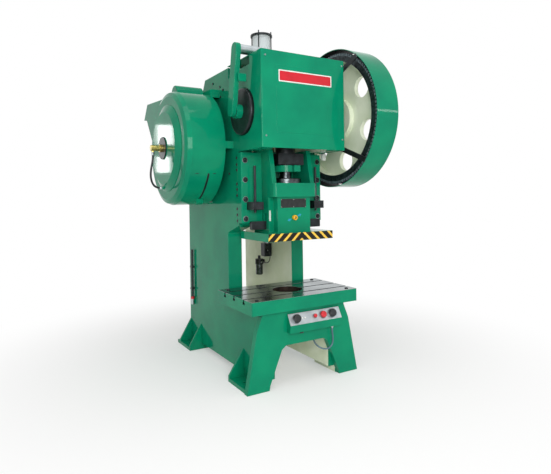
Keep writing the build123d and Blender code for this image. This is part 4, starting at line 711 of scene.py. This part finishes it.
# Screws, with their washers, seats and cover heads as (radius, height) profiles
gibScrews = {"x": 360, "face": -495.0, "first": 1306, "pitch": 160.3, "count": 4, "r": 15, "h": 15,
             "washer": ((21, 0.5), (21, 2.6), (13, 3)), "seat": ((24.5, 0), (24.5, 0.5), (15, 0.6))}
tableScrews = {"x": 430, "y": (-794, -284), "top": 700.0, "r": 15, "h": 6}
cheekScrews = {"x": 387, "y": -403, "r": 11, "h": 7,
               "z": (1811, 1756, 1711, 1595, 1549, 1499, 1387, 1337, 1287)}
casingScrews = {"x": 387, "r": 10, "h": 6,
                "places": ((72, 2525), (-82, 2466), (-145, 2427), (-90, 2376), (-253, 1686))}
coverScrews = {"head": ((7, 0), (7, 2), (5.25, 3.6), (0.3, 4)),
               "places": ((-358, 1949), (372, 1949), (-358, 2560), (372, 2560))}


def makeScrews():
    gibPlaces = [facing((side * gibScrews["x"], gibScrews["face"], gibScrews["first"] + i * gibScrews["pitch"]),
                        outFront) for side in (-1, 1) for i in range(gibScrews["count"])]

    def sockets(shape):
        for at in gibPlaces:
            addSocketScrew(shape, at, gibScrews["r"], gibScrews["h"])
            addTurned(shape, at, gibScrews["washer"])
        for side in (-1, 1):
            for y in tableScrews["y"]:
                at = facing((side * tableScrews["x"], y, tableScrews["top"]), (0, 0, 1), (0, 1, 0))
                addSocketScrew(shape, at, tableScrews["r"], tableScrews["h"])
    heads = meshFrom(sockets, "frameScrewHeads", "oiledIron")
    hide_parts("frame_screws")

    def seats(shape):
        for at in gibPlaces:
            addTurned(shape, at, gibScrews["seat"])
    meshFrom(seats, "screwSeats", "turnedSteel")

    def sideScrews(shape):
        for side in (-1, 1):
            for z in cheekScrews["z"]:
                at = facing((side * cheekScrews["x"], cheekScrews["y"], z), (side, 0, 0))
                addSocketScrew(shape, at, cheekScrews["r"], cheekScrews["h"])
        for y, z in casingScrews["places"]:
            addSocketScrew(shape, facing((-casingScrews["x"], y, z), outLeft), casingScrews["r"], casingScrews["h"])
    meshFrom(sideScrews, "cheekScrews", "oiledIron")

    def coverHeads(shape):
        for x, z in coverScrews["places"]:
            addTurned(shape, facing((x, coverFront, z), outFront), coverScrews["head"])
    meshFrom(coverHeads, "coverScrews", "turnedSteel")


makeScrews()
print("screws fitted")

# Slot and slits in the flywheel guard: strips of painted shade round its axis, angles in degrees, slits as (x, length)
guardSlot = {"axis": (164.132, 1925.767), "radius": 504.0, "proud": 0.5, "depth": 3, "x": -590, "width": 17,
             "angles": (-152.0, -114.6), "slits": ((-692, 34), (-537, 30)), "slitAngle": -151.5, "slitHeight": 7,
             "slotSteps": 40, "slitSteps": 6, "roundSteps": 2, "leastHalf": 0.2}


def makeGuardSlot():
    def strip(shape, x, width, start, end, steps):
        y0, z0 = guardSlot["axis"]
        r = guardSlot["radius"] + guardSlot["proud"]
        inner = r - guardSlot["depth"]
        rings = []
        for i in range(steps + 1):
            share = i / steps
            a = math.radians(start + (end - start) * share)
            toEnd = min(share, 1 - share) * steps / guardSlot["roundSteps"]
            half = width / 2 * math.sqrt(max(0.0, 1 - max(0.0, 1 - toEnd) ** 2)) + guardSlot["leastHalf"]
            rings.append([Vector((x + s * half, y0 + q * math.cos(a), z0 + q * math.sin(a))) * mm
                          for s, q in ((-1, r), (1, r), (1, inner), (-1, inner))])
        addRings(shape, rings)

    def slots(shape):
        strip(shape, guardSlot["x"], guardSlot["width"], *guardSlot["angles"], guardSlot["slotSteps"])
        half = math.degrees(guardSlot["slitHeight"] / 2 / guardSlot["radius"])
        for x, length in guardSlot["slits"]:
            strip(shape, x, length, guardSlot["slitAngle"] - half, guardSlot["slitAngle"] + half,
                  guardSlot["slitSteps"])
    # not cut: strips in the black plastic finish, painted shade where the openings are
    meshFrom(slots, "guardSlotShade", "blackPlastic")


makeGuardSlot()

# Small brackets: the latch beside the chain cover, the foot under the flywheel guard, the clip under the control box
brackets = {
    "coverLatch": {"at": (-458, -652, 2418), "out": outFront, "up": (0, 0, 1), "size": (68, 60), "corner": 6,
                   "thick": 12, "finish": "greenEnamel", "slot": "enamel_green"},
    "guardFoot": {"at": (-586, -38, 1468), "out": (0, -0.4, -0.92), "up": (1, 0, 0), "size": (46, 64), "corner": 6,
                  "thick": 38, "finish": "greenEnamel", "slot": "enamel_green"},
    "boxClip": {"at": (-64, -848, 420.5), "out": (0, 0, -1), "up": (0, 1, 0), "size": (30, 14), "corner": 3,
                "thick": 9, "finish": "blackPlastic", "slot": "black_plastic"},
}
bracketEdge = 1.0


def makeBracket(name, spec):
    base = facing(spec["at"], spec["out"], spec["up"])
    meshFrom(lambda s: addPlate(s, base, *spec["size"], spec["corner"], spec["thick"], bracketEdge),
             name, spec["finish"])


for bracketName, bracketSpec in brackets.items():
    makeBracket(bracketName, bracketSpec)

# Hose ends: a nut of half width nut and height h, and a sleeve that ends l from the seat
fittings = {
    "clutchTop": {"at": (-926, 165, 1888), "out": (0, 0, -1), "nut": 12, "h": 16, "sleeve": 11.5, "l": 26},
    "clutchEnd": {"at": (-838, 204, 1576), "out": (-1, 0, 0), "nut": 12, "h": 14, "sleeve": 11.5, "l": 20},
    "controlTop": {"at": (246, -832, 420), "out": (0, 0, -1), "nut": 9, "h": 10, "sleeve": 8, "l": 20},
    "controlEnd": {"at": (121, -726, 372), "out": (0, 0, -1), "nut": 9, "h": 8, "sleeve": 8, "l": 16},
    "filterTop": {"at": (205, 149, 950), "out": (0, -1, 0), "nut": 6, "h": 7, "sleeve": 5.5, "l": 12},
    "filterEnd": {"at": (205, 277, 824), "out": (0, -1, 0), "nut": 6, "h": 7, "sleeve": 5.5, "l": 12},
}
sleeveShape = {"sides": 24, "inNut": 1, "taper": 2, "endRadius": 0.92}


def makeFittings():
    def nuts(shape):
        for spec in fittings.values():
            base = facing(spec["at"], spec["out"], (0, 1, 0) if spec["out"][2] else (0, 0, 1))
            addHexHead(shape, base, spec["nut"], spec["h"])
            r, end = spec["sleeve"], spec["l"]
            addTurned(shape, base, [(r, spec["h"] - sleeveShape["inNut"]), (r, end - sleeveShape["taper"]),
                                    (r * sleeveShape["endRadius"], end)], sleeveShape["sides"])
    meshFrom(nuts, "hoseFittings", "anodisedAluminium")


makeFittings()

# Control panel trim: low and high are (y, z) of the sloping face, and each ring is (x, radius, width, height)
panel = {"low": (-858, 482), "high": (-813, 564), "lift": 2.0,
         "rings": ((-105, 33.5, 3.5, 4), (240, 33.5, 3.5, 4), (71, 16.5, 3.5, 3), (150, 28.5, 4, 3.5)),
         "ringSides": 40, "ringFlank": 0.6,
         "pilots": (-48, -22), "pilot": ((7, 0), (7, 2), (4.9, 3), (4.2, 5), (0.3, 6)), "pilotSides": 24}


def panelFrame(x):
    low, high = (Vector((x, *panel[end])) for end in ("low", "high"))
    slope = (high - low).normalized()
    out = Vector((0, -slope.z, slope.y))
    return facing((low + high) / 2 + out * panel["lift"], out, slope)


def makePanelTrim():
    def bezels(shape):
        share = panel["ringFlank"]
        for x, r, width, h in panel["rings"]:
            profile = [(r, 0), (r + width, 0), (r + width, h * share), (r + width * share, h), (r, h)]
            addTurned(shape, panelFrame(x), profile, panel["ringSides"], True)
    meshFrom(bezels, "buttonBezels", "turnedSteel")

    def pilots(shape):
        for x in panel["pilots"]:
            addTurned(shape, panelFrame(x), panel["pilot"], panel["pilotSides"])
    meshFrom(pilots, "pilotLights", "whitePlastic")


makePanelTrim()
print("fittings and panel trim placed")

# Floor and light, in metres
stagePlan = {"floorSize": 60.0, "floorDrop": 0.0005, "floorColours": ("#F4F4F2", "#F8F8F7"), "toneScale": 0.4,
             "floorRough": 0.8, "sky": 0.54, "shadowCentre": (0, 0, 0), "shadowReach": (0.9, 3.2),
             "leastWhite": 0.35}
plainWhite = (1, 1, 1, 1)


def whiteRays(tree):
    # one for the rays that see plain white: the camera's, those through the acrylic and those off a gloss
    rays = addNode(tree, "ShaderNodeLightPath")
    mask = rays.outputs["Is Camera Ray"]
    for kind in ("Is Transmission Ray", "Is Glossy Ray"):
        either = addNode(tree, "ShaderNodeMath", {"operation": "MAXIMUM"}, {0: mask, 1: rays.outputs[kind]})
        mask = either.outputs[0]
    return mask


def makeFloor():
    bpy.ops.mesh.primitive_plane_add(size=stagePlan["floorSize"], location=(0, 0, -stagePlan["floorDrop"]))
    floor = bpy.context.active_object
    floor.name = "studioFloor"
    material, tree, place = newSurface("studioFloor")
    tone = addNode(tree, "ShaderNodeTexNoise", {}, {"Vector": place, "Scale": stagePlan["toneScale"]})
    first, second = (linearColour(hexText) for hexText in stagePlan["floorColours"])
    colour = addNode(tree, "ShaderNodeMix", {"data_type": "RGBA"}, {
        factor: tone.outputs["Fac"], colourA: first, colourB: second})
    board = addNode(tree, "ShaderNodeBsdfPrincipled", {}, {
        "Base Color": colour.outputs[colourOut], "Roughness": stagePlan["floorRough"]})
    # the board fades into plain white away from the press, so no edge shows
    away = addNode(tree, "ShaderNodeVectorMath", {"operation": "DISTANCE"}, {0: place, 1: stagePlan["shadowCentre"]})
    near, far = stagePlan["shadowReach"]
    fade = addNode(tree, "ShaderNodeMapRange", {"interpolation_type": "SMOOTHSTEP"}, {
        "Value": away.outputs["Value"], "From Min": near, "From Max": far, "To Min": stagePlan["leastWhite"]})
    share = addNode(tree, "ShaderNodeMath", {"operation": "MULTIPLY"}, {0: whiteRays(tree), 1: fade.outputs[0]})
    white = addNode(tree, "ShaderNodeEmission", {}, {"Color": plainWhite, "Strength": 1.0})
    shader = addNode(tree, "ShaderNodeMixShader", {}, {0: share.outputs[0], 1: board.outputs[0], 2: white.outputs[0]})
    addNode(tree, "ShaderNodeOutputMaterial", {}, {"Surface": shader.outputs[0]})
    floor.data.materials.append(material)


def makeSky():
    world = bpy.data.worlds.new("studio")
    bpy.context.scene.world = world
    world.use_nodes = True
    tree = world.node_tree
    tree.nodes.clear()
    strength = addNode(tree, "ShaderNodeMix", {}, {
        factor: whiteRays(tree), numberA: stagePlan["sky"], numberB: 1.0})
    sky = addNode(tree, "ShaderNodeBackground", {}, {
        "Color": plainWhite, "Strength": strength.outputs[numberOut]})
    addNode(tree, "ShaderNodeOutputWorld", {}, {"Surface": sky.outputs[0]})


# Banks and strips light the press; the two windows are what the casing reflects
lamps = {
    "overheadBank": {"at": (-0.6, -2.2, 6.5), "aim": (0, -0.2, 1.2), "size": (3.0, 3.0), "watts": 90},
    "frontBank": {"at": (-2.2, -5.6, 2.5), "aim": (0, 0, 1.4), "size": (2.6, 2.2), "watts": 175},
    "rightStrip": {"at": (5.7, -5.6, 3.1), "aim": (0, 0, 1.8), "size": (2.2, 0.3), "watts": 26},
    "upperWindow": {"at": (-2.8, 6.2, 2.85), "aim": (-0.8, 0, 2.0), "size": (0.34, 0.42), "watts": 4},
    "lowerWindow": {"at": (-2.75, 6.2, 2.2), "aim": (-0.8, 0, 1.8), "size": (0.26, 0.34), "watts": 3},
}


def makeLamps():
    for name, spec in lamps.items():
        data = bpy.data.lights.new(name, "AREA")
        data.shape = "RECTANGLE"
        data.size, data.size_y = spec["size"]
        data.energy = spec["watts"]
        lamp = bpy.data.objects.new(name, data)
        bpy.context.scene.collection.objects.link(lamp)
        lamp.location = spec["at"]
        aim = Vector(spec["aim"]) - Vector(spec["at"])
        lamp.rotation_mode = "QUATERNION"
        lamp.rotation_quaternion = aim.to_track_quat("-Z", "Y")


makeFloor()
makeSky()
makeLamps()
bpy.context.scene.view_settings.view_transform = "Standard"
print("stage lit")
